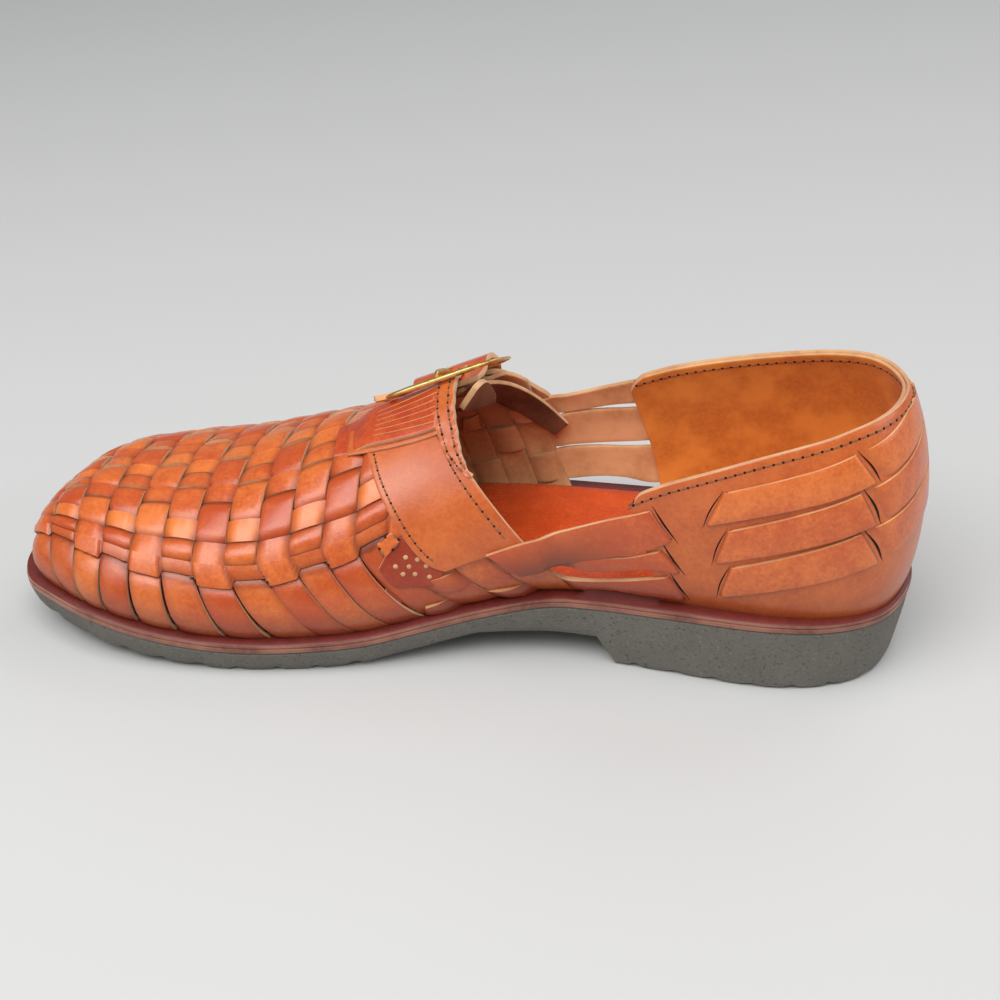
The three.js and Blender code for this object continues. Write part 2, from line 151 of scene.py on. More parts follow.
def sole_outline():
    """The outsole's plan outline from the heel's back round the inner side: a centripetal spline."""
    inner = [(at * LENGTH, half * BALL_WIDTH) for at, half in SECTIONS[:, :2]]
    outer = [(at * LENGTH, -half * BALL_WIDTH) for at, half in SECTIONS[1:-1, [0, 2]]]
    knots = np.array(inner + outer[::-1])
    points = []
    for i in range(len(knots)):
        p0, p1, p2, p3 = (knots[(i + k) % len(knots)] for k in (-1, 0, 1, 2))
        d0, d1, d2 = (np.linalg.norm(b - a) ** 0.5 for a, b in ((p0, p1), (p1, p2), (p2, p3)))
        m1 = ((p1 - p0) / d0 - (p2 - p0) / (d0 + d1) + (p2 - p1) / d1) * d1
        m2 = ((p2 - p1) / d1 - (p3 - p1) / (d1 + d2) + (p3 - p2) / d2) * d1
        for t in np.arange(STEPS) / STEPS:
            points.append(p1 + t * m1 + t * t * (-3 * p1 + 3 * p2 - 2 * m1 - m2)
                          + t ** 3 * (2 * p1 - 2 * p2 + m1 + m2))
    return np.array(points)


def inset(points, distance):
    """A closed outline drawn in by a distance, or by one distance for each point."""
    along = np.roll(points, -1, 0) - np.roll(points, 1, 0)
    along /= np.linalg.norm(along, axis=1)[:, None]
    inwards = np.stack([along[:, 1], -along[:, 0]], 1)
    return points + inwards * np.broadcast_to(distance, len(points))[:, None]


def paired(a, b):
    """Two places as arrays of numbers of one shape."""
    return np.broadcast_arrays(np.asarray(a, float), np.asarray(b, float))


def ease(t):
    """From 0 to 1 with soft ends."""
    t = np.clip(t, 0, 1)
    return t * t * (3 - 2 * t)


def run_along(points):
    """How far along a line each of its points lies."""
    return np.concatenate([[0], np.cumsum(np.linalg.norm(np.diff(points, axis=0), axis=1))])


def part_way(a, b, share):
    """The place a share of the way from place a to place b."""
    return tuple(p + (q - p) * share for p, q in zip(a, b))


OUTLINE = sole_outline()
FOOT = inset(OUTLINE, margin_at(OUTLINE[:, 0]))  # the feather edge, where upper meets sole


def last_point(foot, climb):
    """The last's surface: climb turns from the feather edge, at foot, up to the ridge."""
    fx, fy = foot[..., 0], foot[..., 1]
    rx = np.clip(fx, RIDGE_BACK, RIDGE_FRONT)
    spine = spine_at(rx)
    swell = np.where(fy > spine, swell_in_at(fx), swell_out_at(fx))
    px, py = fx - rx, fy - spine
    plan = np.hypot(px, py) + 1e-9
    lean = np.cos(climb) ** round_at(fx)
    bulge = swell * np.sin(math.pi * (climb / TOP) ** SWELL_LOW)
    reach = np.maximum(lean * plan + bulge, 0.02)
    low = seat_at(fx) + WELT_THICKNESS + GAP
    z = low + (ridge_at(rx) - low) * np.sin(climb) ** CLIMB_POWER
    return np.stack([rx + px / plan * reach, spine + py / plan * reach, z], -1)


def foot_tables():
    """For each outline point, how far it is over the surface to the ridge, and the climb at each share."""
    climbs = np.linspace(0, 1, CLIMBS) * TOP
    grid = last_point(FOOT[:, None, :], climbs[None, :])
    steps = np.linalg.norm(np.diff(grid, axis=1), axis=2)
    arcs = np.concatenate([np.zeros((len(FOOT), 1)), np.cumsum(steps, 1)], 1)
    shares = np.linspace(0, 1, CLIMBS)
    climb_at = np.array([np.interp(shares * row[-1], row, climbs) for row in arcs])
    return arcs[:, -1], climb_at


RISE, CLIMB_AT = foot_tables()  # RISE is the surface's length from the feather edge to the ridge


def foot_index(dx, dy, x):
    """Where the ray from the ridge in a plan direction meets the feather edge, as a place in FOOT."""
    n = len(FOOT)
    rx = np.clip(FOOT[:, 0], RIDGE_BACK, RIDGE_FRONT)
    turn = np.arctan2(FOOT[:, 1] - spine_at(rx), FOOT[:, 0] - rx)
    key = np.where(FOOT[:, 0] > RIDGE_FRONT, RIDGE_FRONT + TOP - np.abs(turn), FOOT[:, 0])
    key = np.where(FOOT[:, 0] < RIDGE_BACK, RIDGE_BACK - np.abs(np.abs(turn) - TOP), key)
    inner = np.where(turn >= 0)[0]
    outer = np.where(turn < 0)[0]
    inner = inner[np.argsort(key[inner])]
    outer = outer[np.argsort(key[outer])]
    ahead = np.abs(np.arctan2(dy, dx))
    query = np.where(x > RIDGE_FRONT, RIDGE_FRONT + TOP - ahead, x)
    query = np.where(x < RIDGE_BACK, RIDGE_BACK - np.abs(ahead - TOP), query)
    on_inner = np.interp(query, key[inner], inner.astype(float))
    wrapped = np.where(outer < n // 4, outer + n, outer).astype(float)
    on_outer = np.interp(query, key[outer], wrapped)
    return np.where(dy >= 0, on_inner, on_outer) % n


def rise_at(s):
    """The surface's length from the feather edge to the ridge at a place in FOOT."""
    return np.interp(s, np.arange(len(RISE) + 1), np.append(RISE, RISE[0]))


def crown_point(x, y):
    """The last flattened round its ridge: y is measured over the surface, to the inner side. Past the feather
    edge the surface goes on straight down."""
    x, y = paired(x, y)
    rx = np.clip(x, RIDGE_BACK, RIDGE_FRONT)
    dx, dy = x - rx, y - spine_at(rx)
    s = foot_index(dx, dy, x)
    i = np.floor(s).astype(int) % len(FOOT)
    j = (i + 1) % len(FOOT)
    f = s - np.floor(s)
    foot = FOOT[i] * (1 - f[..., None]) + FOOT[j] * f[..., None]
    rise = RISE[i] * (1 - f) + RISE[j] * f
    up = rise - np.hypot(dx, dy)
    share = np.clip(up / rise, 0, 1) * (CLIMBS - 1)
    a = np.clip(np.floor(share).astype(int), 0, CLIMBS - 2)
    g = share - a
    climb = ((CLIMB_AT[i, a] * (1 - g) + CLIMB_AT[i, a + 1] * g) * (1 - f)
             + (CLIMB_AT[j, a] * (1 - g) + CLIMB_AT[j, a + 1] * g) * f)
    p = last_point(foot, climb)
    p[..., 2] += np.minimum(up, 0)
    return p


def normal_of(point, u, v, step=0.5):
    """The direction square to a surface whose points are point(u, v)."""
    along = point(u + step, v) - point(u - step, v)
    across = point(u, v + step) - point(u, v - step)
    n = np.cross(along, across)
    return n / (np.linalg.norm(n, axis=-1)[..., None] + 1e-12)


def crown(x, y, lift=0.0):
    """A point raised above the flattened last."""
    x, y = paired(x, y)
    return crown_point(x, y) + normal_of(crown_point, x, y) * np.asarray(lift)[..., None]


def crown_edge(x, side):
    """How far over the surface the feather edge lies at x, signed by the side."""
    x = np.asarray(x, float)
    y = np.full(x.shape, 30.0 * side)
    for _ in range(6):
        rx = np.clip(x, RIDGE_BACK, RIDGE_FRONT)
        dx, dy = x - rx, y - spine_at(rx)
        rise = rise_at(foot_index(dx, dy, x))
        y = spine_at(rx) + side * np.sqrt(np.maximum(rise ** 2 - dx ** 2, 1))
    return y


AROUND = run_along(np.concatenate([FOOT, FOOT[:1]]))  # how far round the feather edge each of its points is


def skirt_point(w, z):
    """The last seen as a skirt: w goes round the feather edge from the heel's back, inner side positive."""
    w, z = paired(w, z)
    s = np.interp(w % AROUND[-1], AROUND, np.arange(len(AROUND)))
    i = np.floor(s).astype(int) % len(FOOT)
    f = (s - np.floor(s))[..., None]
    foot = FOOT[i] * (1 - f) + FOOT[(i + 1) % len(FOOT)] * f
    low = seat_at(foot[..., 0]) + WELT_THICKNESS + GAP
    high = ridge_at(np.clip(foot[..., 0], RIDGE_BACK, RIDGE_FRONT))
    share = np.clip((z - low) / (high - low), 0, 0.999)
    p = last_point(foot, np.arcsin(share ** (1 / CLIMB_POWER)))
    p[..., 2] = z
    return p


def skirt(w, z, lift=0.0):
    """A point raised above the skirt."""
    w, z = paired(w, z)
    return skirt_point(w, z) - normal_of(skirt_point, w, z) * np.asarray(lift)[..., None]


def wrap_of(x, z, side):
    """The place round the feather edge whose surface at height z lies at x."""
    ws = np.linspace(0.5, AROUND[-1] / 2 - 4, 260) * side
    return float(np.interp(x, skirt_point(ws, z)[:, 0], ws))


# ---------------------------------------------------------------- modelling helpers
FINISHES = {}  # materials by their plain names
PLAIN = {"dip": 0, "low": 0, "tone": 0.5}  # what a piece that isn't woven tells its material: no painted shade
STRAP_LEATHER = ("strap", "flesh", "edge")  # finishes of the outer face, inner face and cut edge
PANEL_LEATHER = ("panel", "flesh", "edge")
TAB_LEATHER = ("tab", "flesh", "edge")
SHARP = math.radians(50)  # a leather edge that turns by more than this is a cut edge


def place_of(points):
    """Shoe millimetres to frame metres."""
    out = np.asarray(points, float) * MM
    out[..., 0] += HEEL_BACK * MM
    return out


def deselect():
    for o in bpy.context.selected_objects:
        o.select_set(False)


def activate(obj):
    deselect()
    obj.select_set(True)
    bpy.context.view_layer.objects.active = obj


def set_attributes(obj, **values):
    """Numbers that the material reads at each point: one for the whole piece, or one for each point."""
    for name, value in values.items():
        attribute = obj.data.attributes.get(name) or obj.data.attributes.new(name, "FLOAT", "POINT")
        per_point = np.broadcast_to(np.asarray(value, np.float32), len(obj.data.vertices))
        attribute.data.foreach_set("value", per_point.copy())


def apply_modifier(obj, kind, **settings):
    """Adds a modifier, sets it and applies it."""
    modifier = obj.modifiers.new(kind.title(), kind)
    for key, value in settings.items():
        setattr(modifier, key, value)
    activate(obj)
    bpy.ops.object.modifier_apply(modifier=modifier.name)


def edit_whole(obj, operator, **settings):
    """Runs an edit mode operator on everything in a mesh."""
    activate(obj)
    bpy.ops.object.mode_set(mode="EDIT")
    bpy.ops.mesh.select_all(action="SELECT")
    operator(**settings)
    bpy.ops.object.mode_set(mode="OBJECT")


def face_outwards(obj):
    """Turns an open sheet's faces away from the middle of the shoe."""
    foremost, middle_height = LENGTH * 0.65 * MM, 35 * MM
    outwards = 0
    for face in obj.data.polygons:
        middle = Vector((min(max(face.center.x, 0), foremost), 0, middle_height))
        outwards += face.area * face.normal.dot(face.center - middle)
    if outwards < 0:
        edit_whole(obj, bpy.ops.mesh.flip_normals)


def finish_with(obj, *names):
    """Gives a piece its finishes, one material slot each."""
    for name in names:
        obj.data.materials.append(FINISHES[name])


def new_piece(name, points, faces, finishes, marks=0):
    """A piece from points and faces. marks says which of the finishes each face has."""
    mesh = bpy.data.meshes.new(name)
    mesh.from_pydata(place_of(points).tolist(), [], faces)
    obj = bpy.data.objects.new(name, mesh)
    bpy.context.scene.collection.objects.link(obj)
    finish_with(obj, *finishes)
    per_face = np.broadcast_to(np.asarray(marks, np.int32), len(faces))
    mesh.polygons.foreach_set("material_index", per_face.copy())
    activate(obj)
    return obj


def close_piece(obj, crease):
    """Turns a closed piece's faces outwards and shades it smooth, save where it bends by more than crease."""
    edit_whole(obj, bpy.ops.mesh.normals_make_consistent, inside=False)
    bpy.ops.object.shade_smooth_by_angle(angle=math.radians(crease))
    set_attributes(obj, **PLAIN)
    return obj


def sheet(name, shape, along, across, thickness, finishes, bevel=0.28, tone=0.5):
    """A piece of leather: a grid whose every point shape(u, v) puts in place, given its thickness.

    shape returns points, how deep each lies in the weave (0 to 1), which sets how much painted shade darkens
    it, and how near the sole it is (0 to 1), which darkens it with painted shade too.
    finishes are those of the outer face, inner face and cut edge. along and across are the numbers of cells.
    """
    deselect()
    bpy.ops.mesh.primitive_grid_add(x_subdivisions=along, y_subdivisions=across, size=1)
    obj = bpy.context.object
    obj.name = obj.data.name = name
    mesh = obj.data
    flat = np.empty(len(mesh.vertices) * 3)
    mesh.vertices.foreach_get("co", flat)
    flat = flat.reshape(-1, 3)
    points, dip, low = shape(flat[:, 0] + 0.5, flat[:, 1] + 0.5)
    mesh.vertices.foreach_set("co", place_of(points).astype(np.float32).ravel())
    mesh.update()
    face_outwards(obj)
    set_attributes(obj, dip=dip, low=low, tone=tone)
    finish_with(obj, *finishes)
    apply_modifier(obj, "SOLIDIFY", thickness=thickness * MM, offset=-1, material_offset=1,
                   material_offset_rim=2)
    if bevel:
        apply_modifier(obj, "BEVEL", width=bevel * MM, segments=2, limit_method="ANGLE",
                       angle_limit=SHARP, harden_normals=False)
        bpy.ops.object.shade_smooth()
    else:
        bpy.ops.object.shade_smooth_by_angle(angle=SHARP)
    return obj


def join(objects, name):
    """Makes one object of several."""
    deselect()
    for o in objects:
        o.select_set(True)
    bpy.context.view_layer.objects.active = objects[0]
    if len(objects) > 1:
        bpy.ops.object.join()
    obj = bpy.context.object
    obj.name = obj.data.name = name
    return obj


def settle(obj, slot, *nodes):
    """Says what a finished piece rides on and which nodes it stands for. slot, which names its finish, is not
    used.
    """
    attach(obj, "root")
    if nodes:
        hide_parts(*nodes)
    return obj


# ---------------------------------------------------------------- finishes
# Grain leathers: colour where light, deep and dark, the dark being the painted shade in the dips and by the
# sole, then how rough the wax is, its coat and the wrinkles.
LEATHERS = {
    "strap": ((0.84, 0.225, 0.042), (0.5, 0.068, 0.011), (0.12, 0.015, 0.005), 0.27, 0.35, 0.5),
    "panel": ((0.7, 0.17, 0.03), (0.47, 0.078, 0.012), (0.13, 0.018, 0.006), 0.3, 0.32, 0.25),
    "tab": ((0.82, 0.15, 0.022), (0.44, 0.044, 0.009), (0.1, 0.012, 0.005), 0.16, 0.7, 0.3),
    "patch": ((0.5, 0.062, 0.012), (0.28, 0.026, 0.007), (0.07, 0.008, 0.004), 0.38, 0.15, 0.6),
    "red": ((0.8, 0.11, 0.02), (0.52, 0.055, 0.011), (0.1, 0.012, 0.005), 0.2, 0.6, 0.2),
    "rand": ((0.2, 0.026, 0.018), (0.11, 0.014, 0.01), (0.05, 0.007, 0.005), 0.4, 0.15, 0.5),
}
# Flesh sides, cut edges, thread and the painted shadow of slits and holes: full name, colour where pale and
# deep, how high the fibres stand, sheen.
NAPS = {
    "flesh": ("flesh side", (0.86, 0.46, 0.22), (0.62, 0.28, 0.11), 0.6, 0.08),
    "dark_flesh": ("dark flesh side", (0.24, 0.095, 0.05), (0.11, 0.04, 0.022), 0.6, 0.0),
    "lining": ("suede lining", (0.82, 0.28, 0.042), (0.58, 0.155, 0.02), 0.6, 0.1),
    "edge": ("cut edge", (0.68, 0.4, 0.2), (0.5, 0.22, 0.09), 0.4, 0.3),
    "welt_edge": ("welt edge", (0.36, 0.15, 0.1), (0.17, 0.055, 0.038), 1.0, 0.3),
    # painted shadow inside slits and stitch holes
    "slit": ("slit", (0.035, 0.012, 0.008), (0.015, 0.006, 0.004), 0.6, 0.0),
    "thread": ("thread", (0.3, 0.12, 0.05), (0.2, 0.07, 0.03), 0.6, 0.3),
}
GROUPS = {}  # the node groups that leathers and naps share


def new_group(name, inputs, outputs):
    """A shader node group with named sockets, and its input and output nodes."""
    group = bpy.data.node_groups.new(name, "ShaderNodeTree")
    for label, kind, default in inputs:
        socket = group.interface.new_socket(label, in_out="INPUT", socket_type=kind)
        if default is not None:
            socket.default_value = default
    for label, kind in outputs:
        group.interface.new_socket(label, in_out="OUTPUT", socket_type=kind)
    return group, group.nodes.new("NodeGroupInput"), group.nodes.new("NodeGroupOutput")


class Nodes:
    """Short ways to add and wire shader nodes in one tree."""

    def __init__(self, tree):
        self.tree = tree

    def wire(self, source, socket):
        """Sets a socket to a number or colour, or links it to another socket."""
        if isinstance(source, (int, float)):
            socket.default_value = source
        elif isinstance(source, tuple):
            socket.default_value = (*source, 1.0) if len(socket.default_value) == 4 else source
        else:
            self.tree.links.new(source, socket)

    def noise(self, vector, scale, detail=3.0, roughness=0.55, distortion=0.0):
        node = self.tree.nodes.new("ShaderNodeTexNoise")
        node.inputs["Scale"].default_value = scale
        node.inputs["Detail"].default_value = detail
        node.inputs["Roughness"].default_value = roughness
        node.inputs["Distortion"].default_value = distortion
        self.wire(vector, node.inputs["Vector"])
        return node.outputs["Fac"]

    def cells(self, vector, scale):
        """How far each place is from the middle of its cell."""
        node = self.tree.nodes.new("ShaderNodeTexVoronoi")
        node.inputs["Scale"].default_value = scale
        self.wire(vector, node.inputs["Vector"])
        return node.outputs["Distance"]

    def math(self, operation, a, b):
        node = self.tree.nodes.new("ShaderNodeMath")
        node.operation = operation
        self.wire(a, node.inputs[0])
        self.wire(b, node.inputs[1])
        return node.outputs[0]

    def total(self, *parts):
        """The sum of values, each times its weight."""
        shares = [self.math("MULTIPLY", value, weight) for value, weight in parts]
        added = shares[0]
        for share in shares[1:]:
            added = self.math("ADD", added, share)
        return added

    def span(self, value, low, high, out_low=0.0, out_high=1.0):
        """A value eased from its own range onto another."""
        node = self.tree.nodes.new("ShaderNodeMapRange")
        node.interpolation_type = "SMOOTHSTEP"
        node.inputs["From Min"].default_value = low
        node.inputs["From Max"].default_value = high
        node.inputs["To Min"].default_value = out_low
        node.inputs["To Max"].default_value = out_high
        self.wire(value, node.inputs["Value"])
        return node.outputs["Result"]

    def mix(self, factor, a, b):
        node = self.tree.nodes.new("ShaderNodeMix")
        node.data_type = "RGBA"
        self.wire(factor, node.inputs["Factor"])
        self.wire(a, node.inputs["A"])
        self.wire(b, node.inputs["B"])
        return node.outputs["Result"]

    def scaled(self, vector, scale):
        node = self.tree.nodes.new("ShaderNodeMapping")
        node.inputs["Scale"].default_value = scale
        self.wire(vector, node.inputs["Vector"])
        return node.outputs["Vector"]

    def attribute(self, name):
        node = self.tree.nodes.new("ShaderNodeAttribute")
        node.attribute_name = name
        return node.outputs["Fac"]

    def place(self):
        """Places in metres in the shoe's frame."""
        return self.tree.nodes.new("ShaderNodeTexCoord").outputs["Object"]

    def group(self, group, **values):
        """A node group whose inputs are given by name. Returns its outputs."""
        node = self.tree.nodes.new("ShaderNodeGroup")
        node.node_tree = group
        for label, source in values.items():
            self.wire(source, node.inputs[label])
        return node.outputs


def grain_group():
    """Full-grain leather: pores and fine wrinkles as a height, and slow mottling from wax and handling."""
    group, given, out = new_group(
        "Leather grain", [("Place", "NodeSocketVector", None), ("Wrinkle", "NodeSocketFloat", 0.5)],
        [("Height", "NodeSocketFloat"), ("Mottle", "NodeSocketFloat"), ("Speck", "NodeSocketFloat")])
    n = Nodes(group)
    place = given.outputs["Place"]
    pores = n.span(n.cells(place, 1500), 0.0, 0.45)
    fine = n.noise(place, 2400, 2)
    creases = n.noise(n.scaled(place, (1.0, 1.0, 2.2)), 420, 4, 0.6, 0.6)
    height = n.total((pores, 0.3), (fine, 0.25), (creases, given.outputs["Wrinkle"]))
    slow = n.noise(place, 55, 3, 0.6)
    patches = n.noise(place, 210, 4, 0.6)
    freckles = n.noise(place, 850, 4, 0.65)
    mottle = n.total((slow, 0.4), (patches, 0.25), (freckles, 0.35))
    n.wire(height, out.inputs["Height"])
    n.wire(n.span(mottle, 0.34, 0.66), out.inputs["Mottle"])
    n.wire(n.span(n.noise(place, 1100, 2), 0.56, 0.72), out.inputs["Speck"])
    return group


def nap_group():
    """The flesh side or a cut edge: short fibres that stand up, with paler and darker tufts."""
    group, given, out = new_group(
        "Leather nap", [("Place", "NodeSocketVector", None)],
        [("Height", "NodeSocketFloat"), ("Tuft", "NodeSocketFloat"), ("Patch", "NodeSocketFloat")])
    n = Nodes(group)
    place = given.outputs["Place"]
    fibres = n.noise(place, 1900, 4, 0.7, 0.8)
    tufts = n.noise(place, 620, 4, 0.65, 0.4)
    n.wire(n.total((fibres, 0.6), (tufts, 0.4)), out.inputs["Height"])
    n.wire(n.span(n.total((fibres, 0.5), (tufts, 0.5)), 0.36, 0.64), out.inputs["Tuft"])
    n.wire(n.span(n.noise(place, 60, 3, 0.6), 0.35, 0.65), out.inputs["Patch"])
    return group


def new_material(name, roughness=0.5, metallic=0.0, coat=0.0, coat_roughness=0.2, sheen=0.0, specular=0.5):
    """A material with its Principled shader, whose even values are set on its own sockets."""
    material = bpy.data.materials.new(name)
    material.use_nodes = True
    shader = material.node_tree.nodes["Principled BSDF"]
    shader.inputs["Roughness"].default_value = roughness
    shader.inputs["Metallic"].default_value = metallic
    shader.inputs["Coat Weight"].default_value = coat
    shader.inputs["Coat Roughness"].default_value = coat_roughness
    shader.inputs["Sheen Weight"].default_value = sheen
    shader.inputs["Specular IOR Level"].default_value = specular
    return material, Nodes(material.node_tree), shader


def bump(n, shader, height, strength, distance):
    """Raises a material's surface by a height, at most distance millimetres."""
    node = n.tree.nodes.new("ShaderNodeBump")
    node.inputs["Strength"].default_value = strength
    node.inputs["Distance"].default_value = distance * MM
    n.wire(height, node.inputs["Height"])
    n.wire(node.outputs["Normal"], shader.inputs["Normal"])


def leather(name, light, deep, dark, gloss, coat, wrinkle):
    """Waxed grain leather: light where handled, deep in the mottling, and darkened with painted shade in the
    dips and by the sole.

    A piece's own tone makes it lighter or deeper than the next one."""
    material, n, shader = new_material(f"{name} leather", coat=coat, coat_roughness=0.22)
    grain = n.group(GROUPS["grain"], Place=n.place(), Wrinkle=wrinkle)
    shade = n.total((grain["Mottle"], 0.4), (n.attribute("tone"), 0.5))
    base = n.mix(n.span(shade, 0.08, 0.92), deep, light)
    # painted shade: darker towards the sole
    base = n.mix(n.math("MULTIPLY", n.attribute("low"), 0.75), base, dark)
    # painted shade where a strap lies under another, in creases, at tucked ends, in slits and along strap
    # edges
    dip = n.span(n.total((n.attribute("dip"), 1.0), (grain["Mottle"], 0.12)), 0.12, 0.95)
    base = n.mix(n.math("MULTIPLY", dip, 0.85), base, dark)
    base = n.mix(n.math("MULTIPLY", grain["Speck"], 0.14), base, deep)
    n.wire(base, shader.inputs["Base Color"])
    rough = n.total((grain["Mottle"], 0.12), (grain["Speck"], 0.08))
    n.wire(n.math("ADD", rough, gloss), shader.inputs["Roughness"])
    bump(n, shader, grain["Height"], 0.6, 0.18)
    return material


def nap(name, pale, deep, strength, sheen):
    """Suede-like flesh side or raw cut edge."""
    material, n, shader = new_material(name, roughness=0.9, sheen=sheen, specular=0.25)
    fibre = n.group(GROUPS["nap"], Place=n.place())
    base = n.mix(fibre["Patch"], deep, pale)
    base = n.mix(n.math("MULTIPLY", fibre["Tuft"], 0.45), base, pale)
    shadow = tuple(0.35 * c for c in deep)
    base = n.mix(n.math("MULTIPLY", n.attribute("dip"), 0.55), base, shadow)
    n.wire(base, shader.inputs["Base Color"])
    n.wire(n.math("SUBTRACT", 1.0, n.math("MULTIPLY", fibre["Tuft"], 0.2)), shader.inputs["Roughness"])
    bump(n, shader, fibre["Height"], strength, 0.25)
    return material


def rubber():
    """Warm grey sole rubber with pale and dark specks and a rough moulded skin."""
    material, n, shader = new_material("sole rubber", roughness=0.85, specular=0.3)
    place = n.place()
    specks = n.noise(place, 900, 3, 0.7)
    clouds = n.noise(place, 70, 4, 0.6)
    base = n.mix(clouds, (0.125, 0.115, 0.098), (0.19, 0.178, 0.155))
    base = n.mix(n.math("MULTIPLY", n.span(specks, 0.6, 0.7), 0.5), base, (0.32, 0.3, 0.26))
    base = n.mix(n.math("MULTIPLY", n.span(specks, 0.42, 0.34), 0.6), base, (0.035, 0.032, 0.028))
    n.wire(base, shader.inputs["Base Color"])
    n.wire(n.math("ADD", n.math("MULTIPLY", clouds, 0.2), 0.7), shader.inputs["Roughness"])
    bump(n, shader, n.total((n.noise(place, 260, 4, 0.6), 0.7), (specks, 0.4)), 0.5, 0.5)
    return material


def brass():
    """Old brass, brighter and browner in patches."""
    material, n, shader = new_material("buckle brass", metallic=1.0)
    place = n.place()
    worn = n.span(n.noise(place, 160, 4, 0.6), 0.35, 0.65)
    n.wire(n.mix(worn, (0.6, 0.4, 0.12), (0.86, 0.64, 0.24)), shader.inputs["Base Color"])
    n.wire(n.span(n.noise(place, 500, 3), 0.3, 0.7, 0.3, 0.48), shader.inputs["Roughness"])
    bump(n, shader, n.noise(n.scaled(place, (1, 6, 6)), 700, 2), 0.15, 0.05)
    return material


def make_finishes():
    """Every finish of the shoe, built once."""
    GROUPS["grain"] = grain_group()
    GROUPS["nap"] = nap_group()
    for name, row in LEATHERS.items():
        FINISHES[name] = leather(name, *row)
    for name, row in NAPS.items():
        FINISHES[name] = nap(*row)
    FINISHES["rubber"] = rubber()
    FINISHES["brass"] = brass()


# ---------------------------------------------------------------- the weave
# Crosswise straps are numbered from the toe, and a lengthwise strap is slit into two half rows, numbered
# from the inner side. Which family shows, half row by half row, on odd and on even crosswise straps:
CHARTS = {1: "ABABBAABBABBAA", 0: "AABBABBAABBABA"}
HALF_ROWS = 14
CROSS_PITCH = 10.5
FIRST_CROSS = 292.7  # x of strap 0 where it leaves the lowest row
CROSS_WIDTH = 10.2
STRAP = 1.6  # thickness of a woven strap
OVER = 1.4  # outer face of a strap that lies over, above the last
UNDER = -0.75
CROWNED = 0.38  # how far a crosswise strap's middle stands above its edges
PILLOWED = 0.4  # the same for a lengthwise strap, both halves together
PAINTED_EDGE_SHADE = 0.28  # how dark the painted shade along a strap's edges is
SOLE_SHADE_HEIGHT = 16  # how far up from the welt the painted shade by the sole reaches
NOTCH = 0.36  # how far the lowest half rows draw in at an odd crosswise strap
CROSS_COUNT = 19  # crosswise straps that the charts are followed for
# Lower edge of the woven part over the surface from the ridge: x, inner side, outer side.
SELVEDGE = [
    (70, 30, 66), (120, 36, 66), (150, 41, 63), (165, 43.5, 61), (176, 46, 60), (185, 49, 59),
    (195, 50.5, 57.5), (210, 52.5, 54.5), (225, 51.5, 51), (240, 48.5, 47.5), (251, 45.8, 44),
    (262, 42, 40.5), (273, 37.5, 36), (282, 32.5, 31), (290, 27.5, 26), (298, 22.5, 21), (312, 16, 15),
]
selvedge_in = curve_through(*((x, inner) for x, inner, _ in SELVEDGE))
selvedge_out = curve_through(*((x, outer) for x, _, outer in SELVEDGE))


def row_width(x):
    """How wide a half row is at x."""
    return (selvedge_in(x) + selvedge_out(x)) / HALF_ROWS


def row_edge(r, x):
    """y of the edge of half row r at x."""
    return selvedge_in(x) - r * row_width(x)


def row_of(x, y):
    """The half row, as a smooth number, that passes through a place."""
    return (selvedge_in(x) - y) / row_width(x)


def cross_drift(k, y):
    """How far crosswise strap k has moved along the shoe at y: swept back to the outer side, and slanting to
    its foot on the inner side, forwards near the toe and backwards from there on."""
    swept = -0.0016 * np.maximum(30 - y, 0) ** 2
    slant = np.clip(0.35 - 0.145 * k, -0.68, 0.3)
    past = np.maximum(y - 42, 0)
    return swept + slant * (past - 4 * (1 - np.exp(-past / 4)))


def cross_x(k, y):
    """x of the middle of crosswise strap k at y."""
    return FIRST_CROSS - CROSS_PITCH * k + cross_drift(k, y)


def cross_of(x, y):
    """The crosswise strap, as a smooth number, that passes through a place."""
    k = (FIRST_CROSS - x) / CROSS_PITCH
    for _ in range(4):
        k = (FIRST_CROSS - x + cross_drift(k, y)) / CROSS_PITCH
    return k


def stepped(levels, at, first, width):
    """Levels of cells of size 1 from first on, blended over width round each boundary."""
    out = np.full(np.shape(at), float(levels[0]))
    for i, (a, b) in enumerate(zip(levels[:-1], levels[1:])):
        if a != b:
            out += (b - a) * ease((at - (first + i + 1)) / width + 0.5)
    return out


def lift_of(level):
    """How high a strap lies: level 1 is over the other family and -1 is under it."""
    return UNDER + (OVER - UNDER) * (level + 1) / 2


def dome(v):
    """1 along a strap's middle, 0 at both edges."""
    return 1 - (2 * v - 1) ** 2


